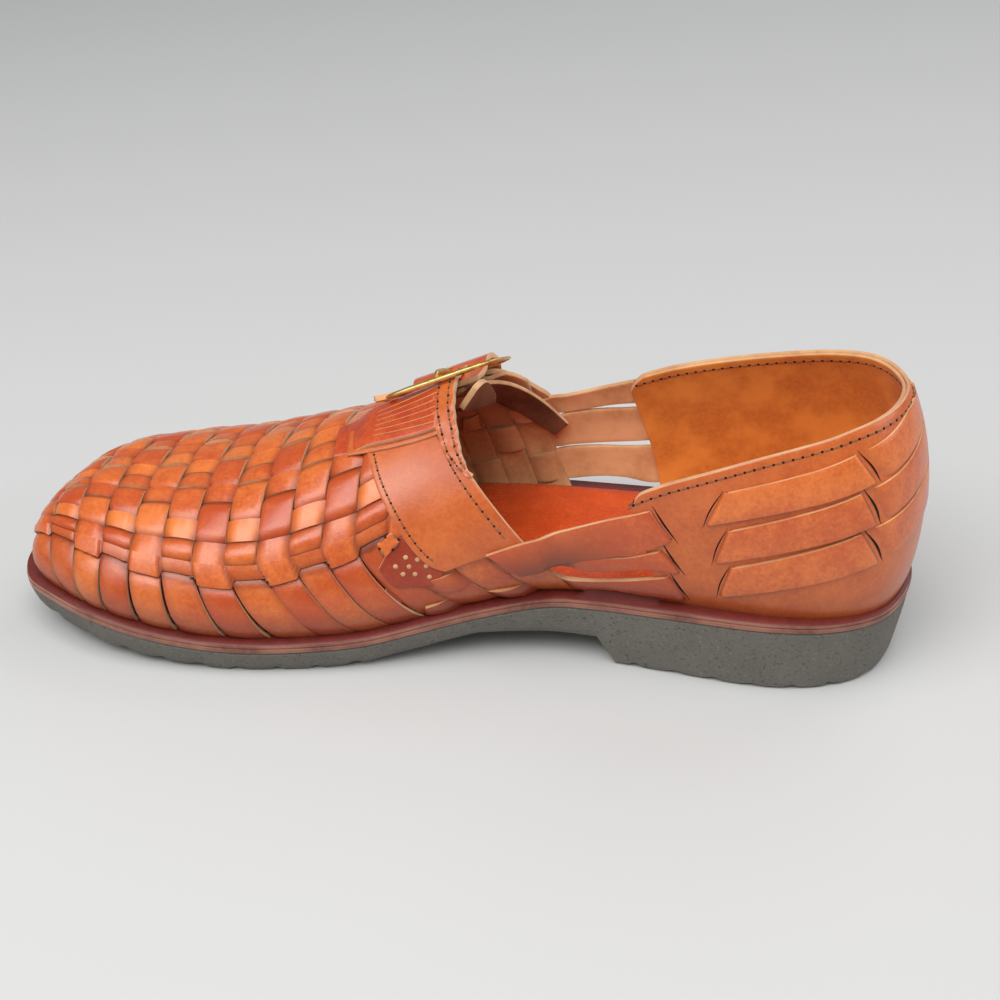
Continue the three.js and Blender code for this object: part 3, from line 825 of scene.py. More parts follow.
# Straps along each side of the waist, from the counter to the vamp: x, upper and lower edge as heights.
WAIST_STRAPS = {
    "inner_upper": (1, [
        (76.6, 69, 56.8), (88.7, 64.7, 50.4), (104.5, 58.6, 44.5), (117, 53.3, 40.8), (128, 49.9, 37.6),
        (140, 45.2, 34.5)]),
    "inner_middle": (1, [
        (76, 53, 41.8), (88, 49, 42.2), (95, 46.5, 41), (104, 44.6, 39), (113, 42.6, 38.2), (130, 42, 36.2),
        (141, 40.5, 33), (155, 35.5, 28.6), (164, 33, 26), (172, 33, 24)]),
    "inner_lower": (1, [
        (72, 42.2, 30.5), (80, 40.2, 30.2), (88, 38, 30.2), (104, 34.4, 30.4), (117, 32.9, 27.5),
        (130, 30, 23.5), (145, 26.5, 20), (160, 23, 16)]),
    "outer_upper": (-1, [
        (78, 79, 65), (84, 77, 64), (99.7, 71.1, 61.8), (111.5, 66.9, 58.6), (124.6, 62.5, 54.6),
        (135, 58.5, 51), (156, 51.5, 44)]),
    "outer_middle": (-1, [
        (76, 63.3, 49.5), (98, 59.9, 46), (119, 56, 42), (135, 50, 38), (150, 44.5, 33), (165, 38, 27.5),
        (176, 34, 23)]),
    "outer_lower": (-1, [
        (74, 47, 33), (88, 45.5, 31), (98, 44, 31.8), (119, 41, 28.5), (135, 35, 23.5), (150, 30, 19.5),
        (160, 26, 16)]),
}
# Where each of them goes into its slit in the counter: top and bottom of the cut, x and height.
WAIST_SLITS = {
    "inner_upper": ((88.6, 64.9), (81.2, 54.3)), "inner_middle": ((84.8, 52), (78.1, 42)),
    "inner_lower": ((81.4, 40), (75.5, 31)), "outer_upper": ((90, 75), (83, 64.6)),
    "outer_middle": ((87, 61.8), (81, 49.5)), "outer_lower": ((84, 45.8), (78, 33)),
}
WEAVE_START = {1: 108, -1: 117}  # x where the waist straps of each side start to be woven


def crown_y(x, z, side):
    """The place over the flattened last, on one side, whose height is z."""
    ys = np.linspace(1, float(abs(crown_edge(x, side))) + 4, 200) * side
    zs = crown_point(float(x), ys)[:, 2]
    return float(np.interp(-z, -zs, ys)) if side > 0 else float(np.interp(z, zs[::-1], ys[::-1]))


def waist_edges(name):
    """The upper and lower edge of a waist strap over the flattened last."""
    side, rows = WAIST_STRAPS[name]
    upper = curve_through(*((x, crown_y(x, z, side)) for x, z, _ in rows))
    lower = curve_through(*((x, crown_y(x, z, side)) for x, _, z in rows))
    return upper, lower


def toe_edge(y):
    """The x at which a line along the shoe at y meets the feather edge in front."""
    y = np.asarray(y, float)
    x = np.full(y.shape, 304.0)
    middle = spine_at(RIDGE_FRONT)
    for _ in range(10):
        rise = rise_at(foot_index(x - RIDGE_FRONT, y - middle, x))
        x = RIDGE_FRONT + np.sqrt(np.maximum(rise ** 2 - (y - middle) ** 2, 4))
    return x


def lowness(p):
    """How near the sole a point lies, which sets the painted shade by the sole: 1 at the feather edge, 0 from
    the shade's top height up.
    """
    up = (p[..., 2] - seat_at(p[..., 0]) - WELT_THICKNESS) / SOLE_SHADE_HEIGHT
    return np.clip(1 - up, 0, 1) ** 1.5


# The throat's edge on the outer side, as heights.
throat_height = curve_through((112, 66.9), (124.6, 62.6), (130, 66.4), (137, 72.8), (144, 78.5), (152, 84))
THROAT_FRONT = 151


def throat_y(x):
    """How far over the surface, on the outer side, the throat's edge lies at x; 0 in front of the throat."""
    ys = np.linspace(-2, -60, 120)
    zs = crown_point(float(x), ys)[:, 2]
    below = np.where(zs < throat_height(x))[0]
    if x > THROAT_FRONT or not len(below):
        return 0.0
    return float(ys[below[0]])


THROAT_XS = np.arange(100.0, 156.0, 2.0)
THROAT_YS = np.array([throat_y(x) for x in THROAT_XS])
# How much narrower, as a share, each crosswise strap's foot is than the strap. Below 0 it is wider.
FEET = (0.1, 0.1, 0.1, -0.14, 0.02, -0.22, -0.12, -0.2, -0.02, 0, 0, 0, 0, 0, 0)
LOOSE_FEET = 11  # crosswise straps before this one arch out between the weave and the welt
FOOT_ARCH = 1.1  # how far they arch
CREASE = 0.075  # width of the crease where a lengthwise strap bends over an edge, as a share of the pitch


def welt_ends(k, across):
    """y of crosswise strap k where it goes under the welt on the inner and on the outer side."""
    ends = []
    for side in (1, -1):
        y = np.full(across.shape, 50.0 * side)
        for _ in range(7):
            y = 0.4 * y + 0.6 * crown_edge(cross_x(k, y) + across, side)
        ends.append(y + side * 1.2)
    return ends


def throat_end(k, across, start):
    """y where crosswise strap k starts on the outer side: at start, or lower where the throat is open."""
    y = np.full(across.shape, float(start))
    for _ in range(5):
        edge = np.interp(cross_x(k, y) + across, THROAT_XS, THROAT_YS, right=0.0)
        y = np.minimum(start, 0.5 * y + 0.5 * edge - 0.3)
    return y


def cross_strap(k, start, tone):
    """Crosswise strap k. start is None for a strap from welt to welt, or the y from which it runs down."""
    loose = k < LOOSE_FEET
    foot = 0.1 if loose else -0.35
    levels = [foot] + [1 if family == "B" else -1 for family in CHARTS[k % 2]] + [foot]

    def shape(u, v):
        across = (2 * v - 1) * CROSS_WIDTH / 2
        inner_end, outer_end = welt_ends(k, across)
        first, last = inner_end, outer_end
        if start is not None and start > 0:
            last = np.full(u.shape, float(start))
        elif start is not None:
            first = throat_end(k, across, start)
        y = last + (first - last) * u
        at_foot = ease((np.abs(y) - 44) / 18)
        x = cross_x(k, y) + across * (1 - FEET[k] * at_foot)
        row = row_of(x, y)
        bent = row
        if k % 2:  # meets the lowest half rows where they draw in
            bent = np.where(row < 1, 1 - (1 - row) / 0.6, row)
            bent = np.where(row > HALF_ROWS - 1, HALF_ROWS - 1 + (row - HALF_ROWS + 1) / 0.6, bent)
        level = stepped(levels, bent, -1, 1.0)
        beyond = np.maximum(-row, row - HALF_ROWS)
        foot_length = np.where(row < 0, inner_end - selvedge_in(x), -outer_end - selvedge_out(x)) + 0.1
        run = np.clip(beyond * row_width(x) / foot_length, 0, 1)
        lift = lift_of(level) + CROWNED * dome(v)
        if loose:
            lift += FOOT_ARCH * np.sin(math.pi * run)
        # painted shade: darker where the strap lies under the other family, on its feet where they leave the
        # weave, and along both edges
        depth = np.where(beyond > 0, 0.25 * (1 - run), (1 - level) / 2)
        p = crown(x, y, lift)
        return p, depth + PAINTED_EDGE_SHADE * (2 * v - 1) ** 4, lowness(p)

    return sheet("across", shape, 130 if start is None else 60, 6, STRAP, STRAP_LEATHER, tone=tone)


def length_strap(r, back, tone):
    """One half of a slit lengthwise strap: half row r, from the toe's welt back to x = back."""
    innermost, outermost = r == 0, r == HALF_ROWS - 1
    margin = 0.03  # of a half row, left free along each edge of the whole strap
    if innermost:  # it lies over every crosswise strap, and a little lower over the odd ones
        levels = [0.45 if k % 2 else 1.0 for k in range(CROSS_COUNT)]
    else:
        levels = [1 if CHARTS[k % 2][r] == "A" else -1 for k in range(CROSS_COUNT)]
    levels = [0.0] * 3 + levels
    blend = 0.2 if innermost else 0.7

    def shape(u, v):
        row = r + (margin if r % 2 == 0 else 0) + (1 - margin) * v
        front = np.full(u.shape, 300.0)
        for _ in range(6):
            front = toe_edge(row_edge(row, front))
        x = front + 1 + (back - front - 1) * u
        y = row_edge(row, x)
        k = cross_of(x, y)
        if innermost or outermost:
            odd = ease((0.5 - np.abs((k + 0.5) % 2 - 1.5)) / 0.1 + 0.5) * (k > -0.5)
            drawn = NOTCH * (1 - v) if innermost else -NOTCH * v
            y = row_edge(row + drawn * odd, x)
        level = stepped(levels, k, -3.5, blend)
        past_edge = (k + 0.5) - np.round(k + 0.5)
        crease = np.exp(-(past_edge / CREASE) ** 2) * ease((level - 0.2) * 2) * (k > -0.3)
        from_slit = r % 2 + v - 1
        lift = lift_of(level) + PILLOWED * (1 - from_slit ** 2) - (0.6 if innermost else 0.5) * crease
        p = crown(x, y, lift)
        # painted shade: darker where the strap lies under, in the creases over an edge and along its edges
        depth = np.where(k < -0.5, 0.1, (1 - level) / 2) + 0.45 * crease + PAINTED_EDGE_SHADE * from_slit ** 4
        return p, np.clip(depth, 0, 1), lowness(p)

    return sheet("along", shape, 520 if innermost else 230, 4, STRAP, STRAP_LEATHER, bevel=0, tone=tone)


def waist_strap(name, number, tone):
    """A side strap of the waist, from a slit in the counter to under the instep straps."""
    side, rows = WAIST_STRAPS[name]
    upper, lower = waist_edges(name)
    (top_x, _), (low_x, _) = WAIST_SLITS[name]
    start, lean = (top_x + low_x) / 2, top_x - low_x
    end = rows[-1][0]
    levels = [1 if (number + k) % 2 == 0 else -1 for k in range(8, 22)]

    def shape(u, v):
        x = start + (end - start) * u
        x = x - lean * (v - 0.5) * (1 - ease(u * 3))
        if name == "inner_upper":  # it isn't woven, and lies on the others
            lift = 1.1 + 2.5 * ease((x - 116) / 9)
            x = x + 0.5 - 10.7 * v * ease((u - 0.6) / 0.4)
            y = upper(x) + (lower(x) - upper(x)) * v
            # darker towards the front and towards the lower edge
            depth = 0.75 * ease((x - 78) / 45) * (0.25 + 0.75 * v)
        else:
            y = upper(x) + (lower(x) - upper(x)) * v
            level = stepped(levels, cross_of(x, y), 7.5, 0.8)
            woven = ease((x - WEAVE_START[side]) / 10)
            lift = 1 - woven + 1.5 * woven * level
            # painted shade where the strap lies under
            depth = 0.25 * (1 - level) * woven
            # darker towards the front on the inner side
            if side > 0:
                depth += 0.3 * ease((x - 82) / 26)
        tuck = ease(u * 50)
        p = crown(x, y, lift * tuck - 0.15 * (1 - tuck) + 0.15 * dome(v))
        # painted shade where the end goes into its slit
        return p, 0.7 * (1 - tuck) + depth, lowness(p)

    return sheet(name, shape, 90, 8, 1.5, STRAP_LEATHER, tone=tone)


def edge_curve(points):
    """A curve by share of its length through points of the flattened last."""
    points = np.array(points, float)
    run = run_along(points)
    dense = np.linspace(0, 1, 200)
    xs, ys = (smooth_curve(run / run[-1], points[:, i])(dense) for i in (0, 1))
    share = run_along(np.column_stack([xs, ys]))
    share /= share[-1]
    return lambda t: (np.interp(t, share, xs), np.interp(t, share, ys))


def high(rows, side):
    """Points of the flattened last from rows of x and height."""
    return [(x, crown_y(x, z, side)) for x, z in rows]


def ruled(edge_a, edge_b, lift):
    """A shape between two curves of the flattened last. lift is a height, or a function of u and v."""
    def shape(u, v):
        x, y = part_way(edge_a(u), edge_b(u), v)
        p = crown(x, y, lift(u, v) if callable(lift) else lift)
        # painted shade by the sole
        return p, 0, lowness(p)

    return shape


# ---------------------------------------------------------------- sole pieces
SEAT = seat_at(OUTLINE[:, 0])  # the outsole's top at each point of the outline
MARGIN = margin_at(OUTLINE[:, 0])
GROOVE_PITCH = 13
GROOVE_DEPTH = 1.1


def body_of_rings(name, rings, finishes, places):
    """A closed body: rings of points from bottom to top, rungs across the first and last.

    places gives the finish of each band between rings, then of the bottom and of the top."""
    count = len(rings[0])
    faces, marks = [], []
    for band in range(len(rings) - 1):
        for i in range(count):
            j = (i + 1) % count
            low, top = band * count, (band + 1) * count
            faces.append((low + i, top + i, top + j, low + j))
            marks.append(places[band])
    for first, mark, turned in ((0, places[-2], False), ((len(rings) - 1) * count, places[-1], True)):
        for i in range(count // 2):
            rung = [first + i, first + i + 1, first + (count - i - 1) % count, first + (count - i) % count]
            rung = list(dict.fromkeys(rung))
            faces.append(tuple(rung[::-1] if turned else rung))
            marks.append(mark)
    return close_piece(new_piece(name, np.concatenate(rings), faces, finishes, marks), crease=35)


def ring(distance, height):
    """The outline drawn in by a distance, at heights given point by point."""
    return np.column_stack([inset(OUTLINE, distance), height])


def tread_height(x):
    """The underside: flat lands between shallow cross grooves, and none under the arch."""
    groove = np.clip(np.cos(2 * math.pi * x / GROOVE_PITCH) * 1.6 - 0.7, 0, 1)
    arch = ease((x - 92) / 6) * (1 - ease((x - 165) / 20))
    return tread_at(x) + GROOVE_DEPTH * groove * (1 - arch)


def build_outsole():
    """The outsole, whose sides taper in on the way down."""
    taper = 2.6
    tread = tread_height(OUTLINE[:, 0])
    rings = [
        ring(taper + 0.9, tread), ring(taper, tread + 0.9),
        ring(taper * 0.66, tread * 0.66 + SEAT * 0.34), ring(taper * 0.33, tread * 0.33 + SEAT * 0.67),
        ring(0.35, SEAT - 0.8), ring(0.9, SEAT - 0.1),
    ]
    return body_of_rings("outsole_looks", rings, ["rubber"], [0] * 7)


def build_welt():
    """The welt's layered edge and the rand on it, from the outsole up and in to the upper."""
    rows = ((0.9, 0.05), (0.1, 0.35), (0.0, 1.7), (0.55, 1.95), (0.55, 2.1), (0.15, 2.35), (0.25, 3.3),
            (0.8, 3.6), (MARGIN * 0.55 + 0.6, 3.75), (MARGIN + 3, 3.55))
    rings = [ring(distance, SEAT + up) for distance, up in rows]
    return body_of_rings("welt_looks", rings, ["welt_edge", "rand"], [0, 0, 0, 0, 0, 0, 1, 1, 1, 0, 1])


def build_insole():
    """The insole's cut edge and its red top."""
    edge = MARGIN + 3.1
    base = SEAT + WELT_THICKNESS + GAP
    rows = ((0.2, 0), (0, 0.4), (0, 2.0), (0.7, 2.5), (4, 2.6))
    rings = [ring(edge + distance, base + up) for distance, up in rows]
    return body_of_rings("insole_looks", rings, ["edge", "red"], [0, 0, 1, 1, 0, 1])


# ---------------------------------------------------------------- counter and bands
# The collar's height at each x, inner and outer side.
COLLAR = {
    1: curve_through((0, 96.5), (14, 96.3), (28, 93.9), (37, 91.2), (55, 85.2), (74, 77.6), (88, 71.8),
                     (94.5, 68.4), (98, 66)),
    -1: curve_through((0, 96.5), (14, 96.2), (32, 92.5), (63, 86.1), (84, 80.2), (97.5, 74.2), (99.5, 73)),
}
# x of the counter's front edge at each height.
counter_front = curve_through((24, 84), (40, 87), (55, 92), (64, 95.5), (70, 97.5), (80, 98))


def collar_top(w):
    """The collar's height at a place round the feather edge."""
    z = np.full(np.shape(w), 90.0)
    for _ in range(8):
        x = skirt_point(w, z)[..., 0]
        z = np.where(np.asarray(w) >= 0, COLLAR[1](x), COLLAR[-1](x))
    return z


def counter_shape(lift):
    """The heel counter from its front edge on the inner side round the heel to the outer side."""
    heights = np.linspace(22, 80, 30)
    reach = {side: smooth_curve(heights, [wrap_of(float(counter_front(z)), z, side) for z in heights])
             for side in (1, -1)}

    def shape(u, v):
        share = 2 * u - 1
        z = np.full(u.shape, 60.0)
        for _ in range(4):
            end = np.where(share >= 0, reach[1](z), -reach[-1](z))
            w = share * end
            top = collar_top(w)
            corner = 5.0 * np.clip((np.abs(share) - 0.955) / 0.045, 0, 1) ** 2
            bottom = seat_at(skirt_point(w, 0)[..., 0]) + WELT_THICKNESS - 0.6
            z = bottom + (top - corner - bottom) * v
        p = skirt(w, z, lift)
        # painted shade by the sole
        return p, 0, 0.6 * lowness(p)

    return shape


# Corners of each heel band, lowest first, x and height: front top, rear top, rear low, front low.
HEEL_BANDS = [
    ((64, 46.3), (23.6, 61.5), (16.8, 50.2), (66.6, 34.4)),
    ((66.1, 59.7), (25.2, 75), (19.2, 64.2), (69.2, 47.6)),
    ((68.5, 72.4), (28.2, 87), (20.9, 78), (73, 61)),
]


def band_corners(side, corners):
    """The corners as places round the feather edge and heights."""
    return [(wrap_of(x, z, side), z) for x, z in corners]


def heel_band(name, side, corners, tone):
    """A strap let through the counter: proud in the middle, its ends sunk into slits."""
    front_top, rear_top, rear_low, front_low = band_corners(side, corners)

    def shape(u, v):
        w, z = part_way(part_way(front_top, rear_top, u), part_way(front_low, rear_low, u), v)
        tuck = ease(np.minimum(u * 20, (1 - u) * 24))
        p = skirt(w, z, -0.5 + 1.75 * tuck + 0.15 * dome(v))
        # painted shade at the ends sunk into slits, and by the sole
        return p, 0.8 * (1 - tuck), 0.5 * lowness(p)

    return sheet(name, shape, 72, 8, 1.3, STRAP_LEATHER, tone=tone)


def slit(side, top, low, bend, width):
    """A dark sheet of painted shadow in the cut that a strap's end goes into, from top to low, a little
    longer than the strap is wide.
    """
    top, low = band_corners(side, (top, low))

    def shape(u, v):
        run = -0.1 + 1.2 * u
        w, z = part_way(top, low, run)
        bow = bend * np.sin(math.pi * np.clip(run, 0, 1)) + 0.4
        open_width = (v - 0.5) * width * np.sin(math.pi * np.clip(u, 0.03, 0.97))
        return skirt(w + side * (open_width - bow), z, 0.12), 1, 1

    return sheet("slit", shape, 14, 2, 0.3, ("slit",) * 3, bevel=0)


def wrap_strap(side, corners, tone):
    """A strap that goes on from a slit, up and round the back of the heel."""
    _, top, low, _ = band_corners(side, corners)
    raised = 1.05 if side > 0 else 0.8  # the inner side's straps lie over the outer side's at the back

    def shape(u, v):
        start_w, start_z = part_way(top, low, v)
        w = (start_w - side * 1.5) * (1 - u) - side * 6.0 * u
        z = np.minimum(start_z + (12.5 - 1.5 * v) * u, 93.5)
        p = skirt(w, z, -0.3 + raised * ease(np.minimum(u * 10, (1 - u) * 16)))
        # painted shade where it leaves the slit, and by the sole
        return p, 0.3 * (1 - ease(u * 6)), 0.3 * lowness(p)

    return sheet("wrap", shape, 24, 6, 0.9, STRAP_LEATHER, tone=tone)


# ---------------------------------------------------------------- instep pieces
# Edges over the flattened last. high() turns rows of x and height into rows of x and y.
PANEL_REAR = high([(127.8, 48), (136.5, 58.2), (143.2, 65.3), (149.3, 71.2), (154, 75.9)], 1)
PANEL_REAR += [(158.3, 9), (157.5, 2), (152, -9), (148.5, -16)]
PANEL_FRONT = high([(153.4, 38), (158.2, 39.7), (164.6, 45.5), (171.3, 53.7), (176.9, 60.7), (181.5, 66)], 1)
PANEL_FRONT += [(187, 4), (180, -7), (170, -16)]
HEM_REAR = high([(145.2, 67.6), (147.6, 70.2), (149.9, 74)], 1)
HEM_REAR += [(151.4, 12), (152, 4), (151.5, -6), (149.5, -14)]
HEM_WIDTHS = (1, 2.8, 4.9, 6.2, 6.6, 6.6, 6.5)
HEM_FRONT = [(x + width, y) for (x, y), width in zip(HEM_REAR, HEM_WIDTHS)]
STRAP_REAR = high([(124.6, 47), (124.6, 61), (130, 66.4), (137, 72.8), (143, 78)], -1) + [(146, -23.5)]
STRAP_FRONT = high([(151, 39), (168, 44), (178, 54), (184, 63)], -1) + [(184, -23.5)]
PATCH_TOP = high([(153.6, 38.6), (158.4, 41.9), (164.8, 47.9), (169.3, 48.6)], 1)
PATCH_LOW = high([(156, 32.2), (162, 32.2), (169.5, 32.4), (174.5, 38.6)], 1)
# Over the flattened last: the patch's punched holes, and the corners of the stitched square beside it.
PATCH_DOTS = [(166, 51.1), (162.2, 53), (159.4, 56.2), (169.2, 53.2), (164.9, 54.5), (166.8, 56.5),
              (163, 57.7), (158.4, 60.4)]
SQUARE = [(175.2, 44.6), (170.9, 41.9), (167.8, 45.2), (172.3, 49.4)]
BINDING_UPPER = high([(118, 53.6), (122.6, 58.8), (127, 63.8), (131.5, 68.6), (137, 74.2), (144, 80.2),
                      (149, 83.2)], -1)
BINDING_UPPER += [(150.5, -10)]
BINDING_LOWER = high([(122.5, 48), (128.7, 52.5), (135.8, 58), (143, 63), (150, 69)], -1) + [(157, -14)]
TAB_INNER = [(157, 14), (172, 13.4), (192, 12)]
TAB_OUTER = [(157, -3.5), (172, -3.5), (192, -1.5)]
UNDER_INNER = [(157, 15.4), (172, 14.9), (187, 13.6)]  # the strip under the tab, seen along its inner side
UNDER_OUTER = [(157, 4), (172, 4), (187, 4)]
GROOVES = 6
GROOVE_REAR, GROOVE_FRONT = 157.4, 188
# The flap at the end of the hem: points in the shoe's frame along its rim and along its root.
FLAP_RIM = [(148, 4, 88.4), (146.3, -1.5, 87.8), (144.6, -5.5, 85.4), (142, -8.5, 79.5)]
FLAP_ROOT = [(152.5, 3, 80), (151, -3, 76.2), (147, -6, 76), (142.6, -9, 76.6)]
STRAP_OUT = 2.1  # outer face of the panel and the buckle strap, above the last
PANEL = 1.8  # thickness of the panel, the buckle strap, the tab and the strap's end


def build_panel():
    """The smooth panel, from the side of the waist up over the instep."""
    shape = ruled(edge_curve(PANEL_REAR), edge_curve(PANEL_FRONT), STRAP_OUT)
    return sheet("instep_panel_looks", shape, 90, 26, PANEL, PANEL_LEATHER, bevel=0.4)


def build_buckle_strap():
    """The strap, and the binding that runs inside it along the throat."""
    shape = ruled(edge_curve(STRAP_REAR), edge_curve(STRAP_FRONT), STRAP_OUT)
    strap = sheet("strap", shape, 40, 40, PANEL, PANEL_LEATHER, bevel=0.4)
    shape = ruled(edge_curve(BINDING_UPPER), edge_curve(BINDING_LOWER), -2.3)
    binding = sheet("binding", shape, 50, 10, 1.6, ("panel", "dark_flesh", "edge"), bevel=0.4)
    return join([strap, binding], "buckle_strap_looks")


def tab_lift(u, v):
    """The tab's height: raised over the panel, and down on the weave in front of it."""
    return 4.7 - 2.4 * ease((u - 0.62) / 0.3) - 0.25 * (2 * v - 1) ** 2


def hem_rise(t):
    """How much higher the hem lies where it goes over the panel."""
    return 1.9 * ease((t - 0.3) / 0.25)


def hem_lift(u, v):
    """The hem's height, with small puckers along both edges."""
    return 2.6 + hem_rise(u) + 0.25 * np.sin(u * 60) * np.abs(2 * v - 1)


def build_grooves():
    """Pale cuts along the tab, which draw together towards its front."""
    pieces = []
    for i in range(GROOVES):
        edges = []
        for wide, narrow in ((0, 0), (0.015, 0.009)):
            _, rear_y = part_way(TAB_INNER[0], TAB_OUTER[0], 0.12 + 0.145 * i + wide)
            _, front_y = part_way(TAB_INNER[-1], TAB_OUTER[-1], 0.2 + 0.11 * i + narrow)
            edges.append(edge_curve([(GROOVE_REAR, rear_y), (GROOVE_FRONT, front_y)]))
        shape = ruled(*edges, lambda u, v: tab_lift(u, 0.5) + 0.07)
        pieces.append(sheet("groove", shape, 40, 1, 0.5, ("edge",) * 3, bevel=0))
    return pieces


def build_flap():
    """The hem's end, curled in under the buckle."""
    rim, root = ([smooth_curve(np.linspace(0, 1, len(row)), numbers) for numbers in zip(*row)]
                 for row in (FLAP_RIM, FLAP_ROOT))

    def curl(u, v):
        high_edge, low_edge = (np.stack([curve(u) for curve in row], -1) for row in (rim, root))
        # painted shade towards the root, curled in under the buckle
        return high_edge + (low_edge - high_edge) * v[..., None], 0.5 * v, 0

    return sheet("flap", curl, 24, 12, 2.0, ("dark_flesh", "dark_flesh", "edge"), bevel=0.5)


def build_t_strap():
    """The grooved tab, its folded hem along the throat and the flap curled in under it."""
    shape = ruled(edge_curve(TAB_INNER), edge_curve(TAB_OUTER), tab_lift)
    pieces = [sheet("tab", shape, 50, 20, PANEL, TAB_LEATHER, bevel=0.4, tone=0.2)]
    shape = ruled(edge_curve(UNDER_INNER), edge_curve(UNDER_OUTER), 2.95)
    pieces.append(sheet("under", shape, 40, 8, 0.85, PANEL_LEATHER, bevel=0.2))
    pieces += build_grooves()
    shape = ruled(edge_curve(HEM_REAR), edge_curve(HEM_FRONT), hem_lift)
    pieces.append(sheet("hem", shape, 70, 8, 1.9, PANEL_LEATHER, bevel=0.4))
    return join(pieces + [build_flap()], "t_strap_looks")


def build_patch():
    """The punched patch, the pale dots of its holes and the stitched square beside it."""
    shape = ruled(edge_curve(PATCH_TOP), edge_curve(PATCH_LOW), 1.3)
    pieces = [sheet("patch", shape, 20, 14, 1.0, ("patch", "flesh", "edge"), bevel=0.2, tone=0.3)]
    for x, y in PATCH_DOTS:
        pieces.append(dot(x, y, lift=1.3, radius=0.8, proud=0.3))
    a, b, c, d = SQUARE
    shape = ruled(edge_curve([a, b]), edge_curve([d, c]), 1.95)
    pieces.append(sheet("square", shape, 8, 8, 0.7, STRAP_LEATHER, bevel=0.2))
    return join(pieces, "punched_patch_looks")


def frame_of(x, y, lift):
    """A place on the flattened last with its directions: along the shoe, over it and out of it."""
    p = crown(x, y, lift)
    along = crown(x + 0.5, y, lift) - crown(x - 0.5, y, lift)
    along /= np.linalg.norm(along)
    out = normal_of(crown_point, np.asarray(float(x)), np.asarray(float(y)))
    return p, along, np.cross(out, along), out


def dot(x, y, lift, radius, proud):
    """A small domed disc lying on the leather."""
    p, along, over, out = frame_of(x, y, lift)
    deselect()
    bpy.ops.mesh.primitive_uv_sphere_add(segments=14, ring_count=6, radius=1)
    obj = bpy.context.object
    sizes_along = ((along, radius), (over, radius), (out, proud))
    axes = [Vector(direction) * size * MM for direction, size in sizes_along]
    obj.data.transform(Matrix.Translation(Vector(place_of(p))) @ Matrix(axes).transposed().to_4x4())
    finish_with(obj, "edge")
    set_attributes(obj, **PLAIN)
    bpy.ops.object.shade_smooth()
    return obj


# ---------------------------------------------------------------- buckle
BUCKLE_LENGTH, BUCKLE_WIDTH, BAR = 41, 25, 2.8
BUCKLE_TURN = Matrix.Rotation(math.radians(24.5), 3, "Y") @ Matrix.Rotation(math.radians(27.5), 3, "X")
BUCKLE_PLACE = Vector((157.5, -10.5, 82.8))
# The strap's end through the buckle, by the buckle: how far to the inner side, how high, half its width.
STRAP_END_IN_BUCKLE = [
    (7, -2.6, 11.5), (1, -0.6, 13), (-5, 2.9, 13.4), (-9, 3.7, 13.5), (-13.5, 3.5, 13.5), (-18.5, 1.1, 13.5),
]
# Its rear and front edge below the buckle, x and height, down to the point.
STRAP_END_BELOW = [
    ((142, 68), (171, 63)), ((144.5, 60.5), (171.5, 57.5)), ((148, 54), (168.5, 52.5)),
    ((151.6, 49.6), (163.5, 48.6)), ((154.6, 47.6), (159.4, 47.2)),
]


def by_buckle(x, y, z):
    """A point given along the buckle, to the inner side and up from it."""
    return np.array(BUCKLE_PLACE + BUCKLE_TURN @ Vector((x, y, z)))


def tube(name, path, radii, finish, closed=False, around=10):
    """A bar along a path. radii gives half its width and half its height at each point."""
    path = np.array(path, float)
    count = len(path)
    points, faces = [], []
    for i in range(count):
        ahead = path[(i + 1) % count] if closed else path[min(i + 1, count - 1)]
        behind = path[i - 1] if closed else path[max(i - 1, 0)]
        way = (ahead - behind) / np.linalg.norm(ahead - behind)
        side = np.cross(way, np.array(BUCKLE_TURN @ Vector((0, 0, 1))))
        side /= np.linalg.norm(side)
        up = np.cross(side, way)
        half_width, half_height = radii[i]
        for k in range(around):
            turn = 2 * math.pi * k / around
            points.append(path[i] + half_width * math.cos(turn) * side + half_height * math.sin(turn) * up)
    for i in range(count if closed else count - 1):
        for k in range(around):
            a, b = i * around, (i + 1) % count * around
            n = (k + 1) % around
            faces.append((a + k, a + n, b + n, b + k))
    if not closed:
        faces.append(tuple(range(around)))
        faces.append(tuple(range((count - 1) * around, count * around))[::-1])
    return close_piece(new_piece(name, points, faces, [finish]), crease=45)


def build_frame():
    """The frame: a rounded rectangle of flat bar, thinner at both ends."""
    half_x, half_y, corner = BUCKLE_LENGTH / 2 - BAR / 2, BUCKLE_WIDTH / 2 - BAR / 2, 4.6
    half_height = BAR * 0.36
    path, radii = [], []
    for cx, cy, start in ((1, 1, 0), (-1, 1, 90), (-1, -1, 180), (1, -1, 270)):
        for step in range(9):
            turn = math.radians(start + 90 * step / 8)
            x = cx * (half_x - corner) + corner * math.cos(turn)
            y = cy * (half_y - corner) + corner * math.sin(turn)
            path.append(by_buckle(x, y, 0))
            thin = 1 - 0.35 * (abs(x) / half_x) ** 3
            radii.append((BAR / 2, half_height * thin))
        if cx == cy:
            for x in np.linspace(cx * (half_x - corner), -cx * (half_x - corner), 8)[1:-1]:
                path.append(by_buckle(x, cy * half_y, 0))
                radii.append((BAR / 2, half_height))
    return tube("buckle_frame_looks", path, radii, "brass", closed=True, around=12)


def build_prong():
    """The prong, from its tip on the inner bar down into the eyelet."""
    over = BAR / 2 + 0.9
    rows = [(12.1, 0.9, 0.45), (11.3, 1.8, 0.65), (9.8, over, 0.85), (7, over + 0.1, 1.0),
            (2, over - 0.1, 1.05), (-2.5, over - 0.3, 0.95), (-4, over - 0.8, 0.5)]
    path = [by_buckle(0, y, z) for y, z, _ in rows]
    return tube("buckle_prong_looks", path, [(radius, radius) for _, _, radius in rows], "brass")


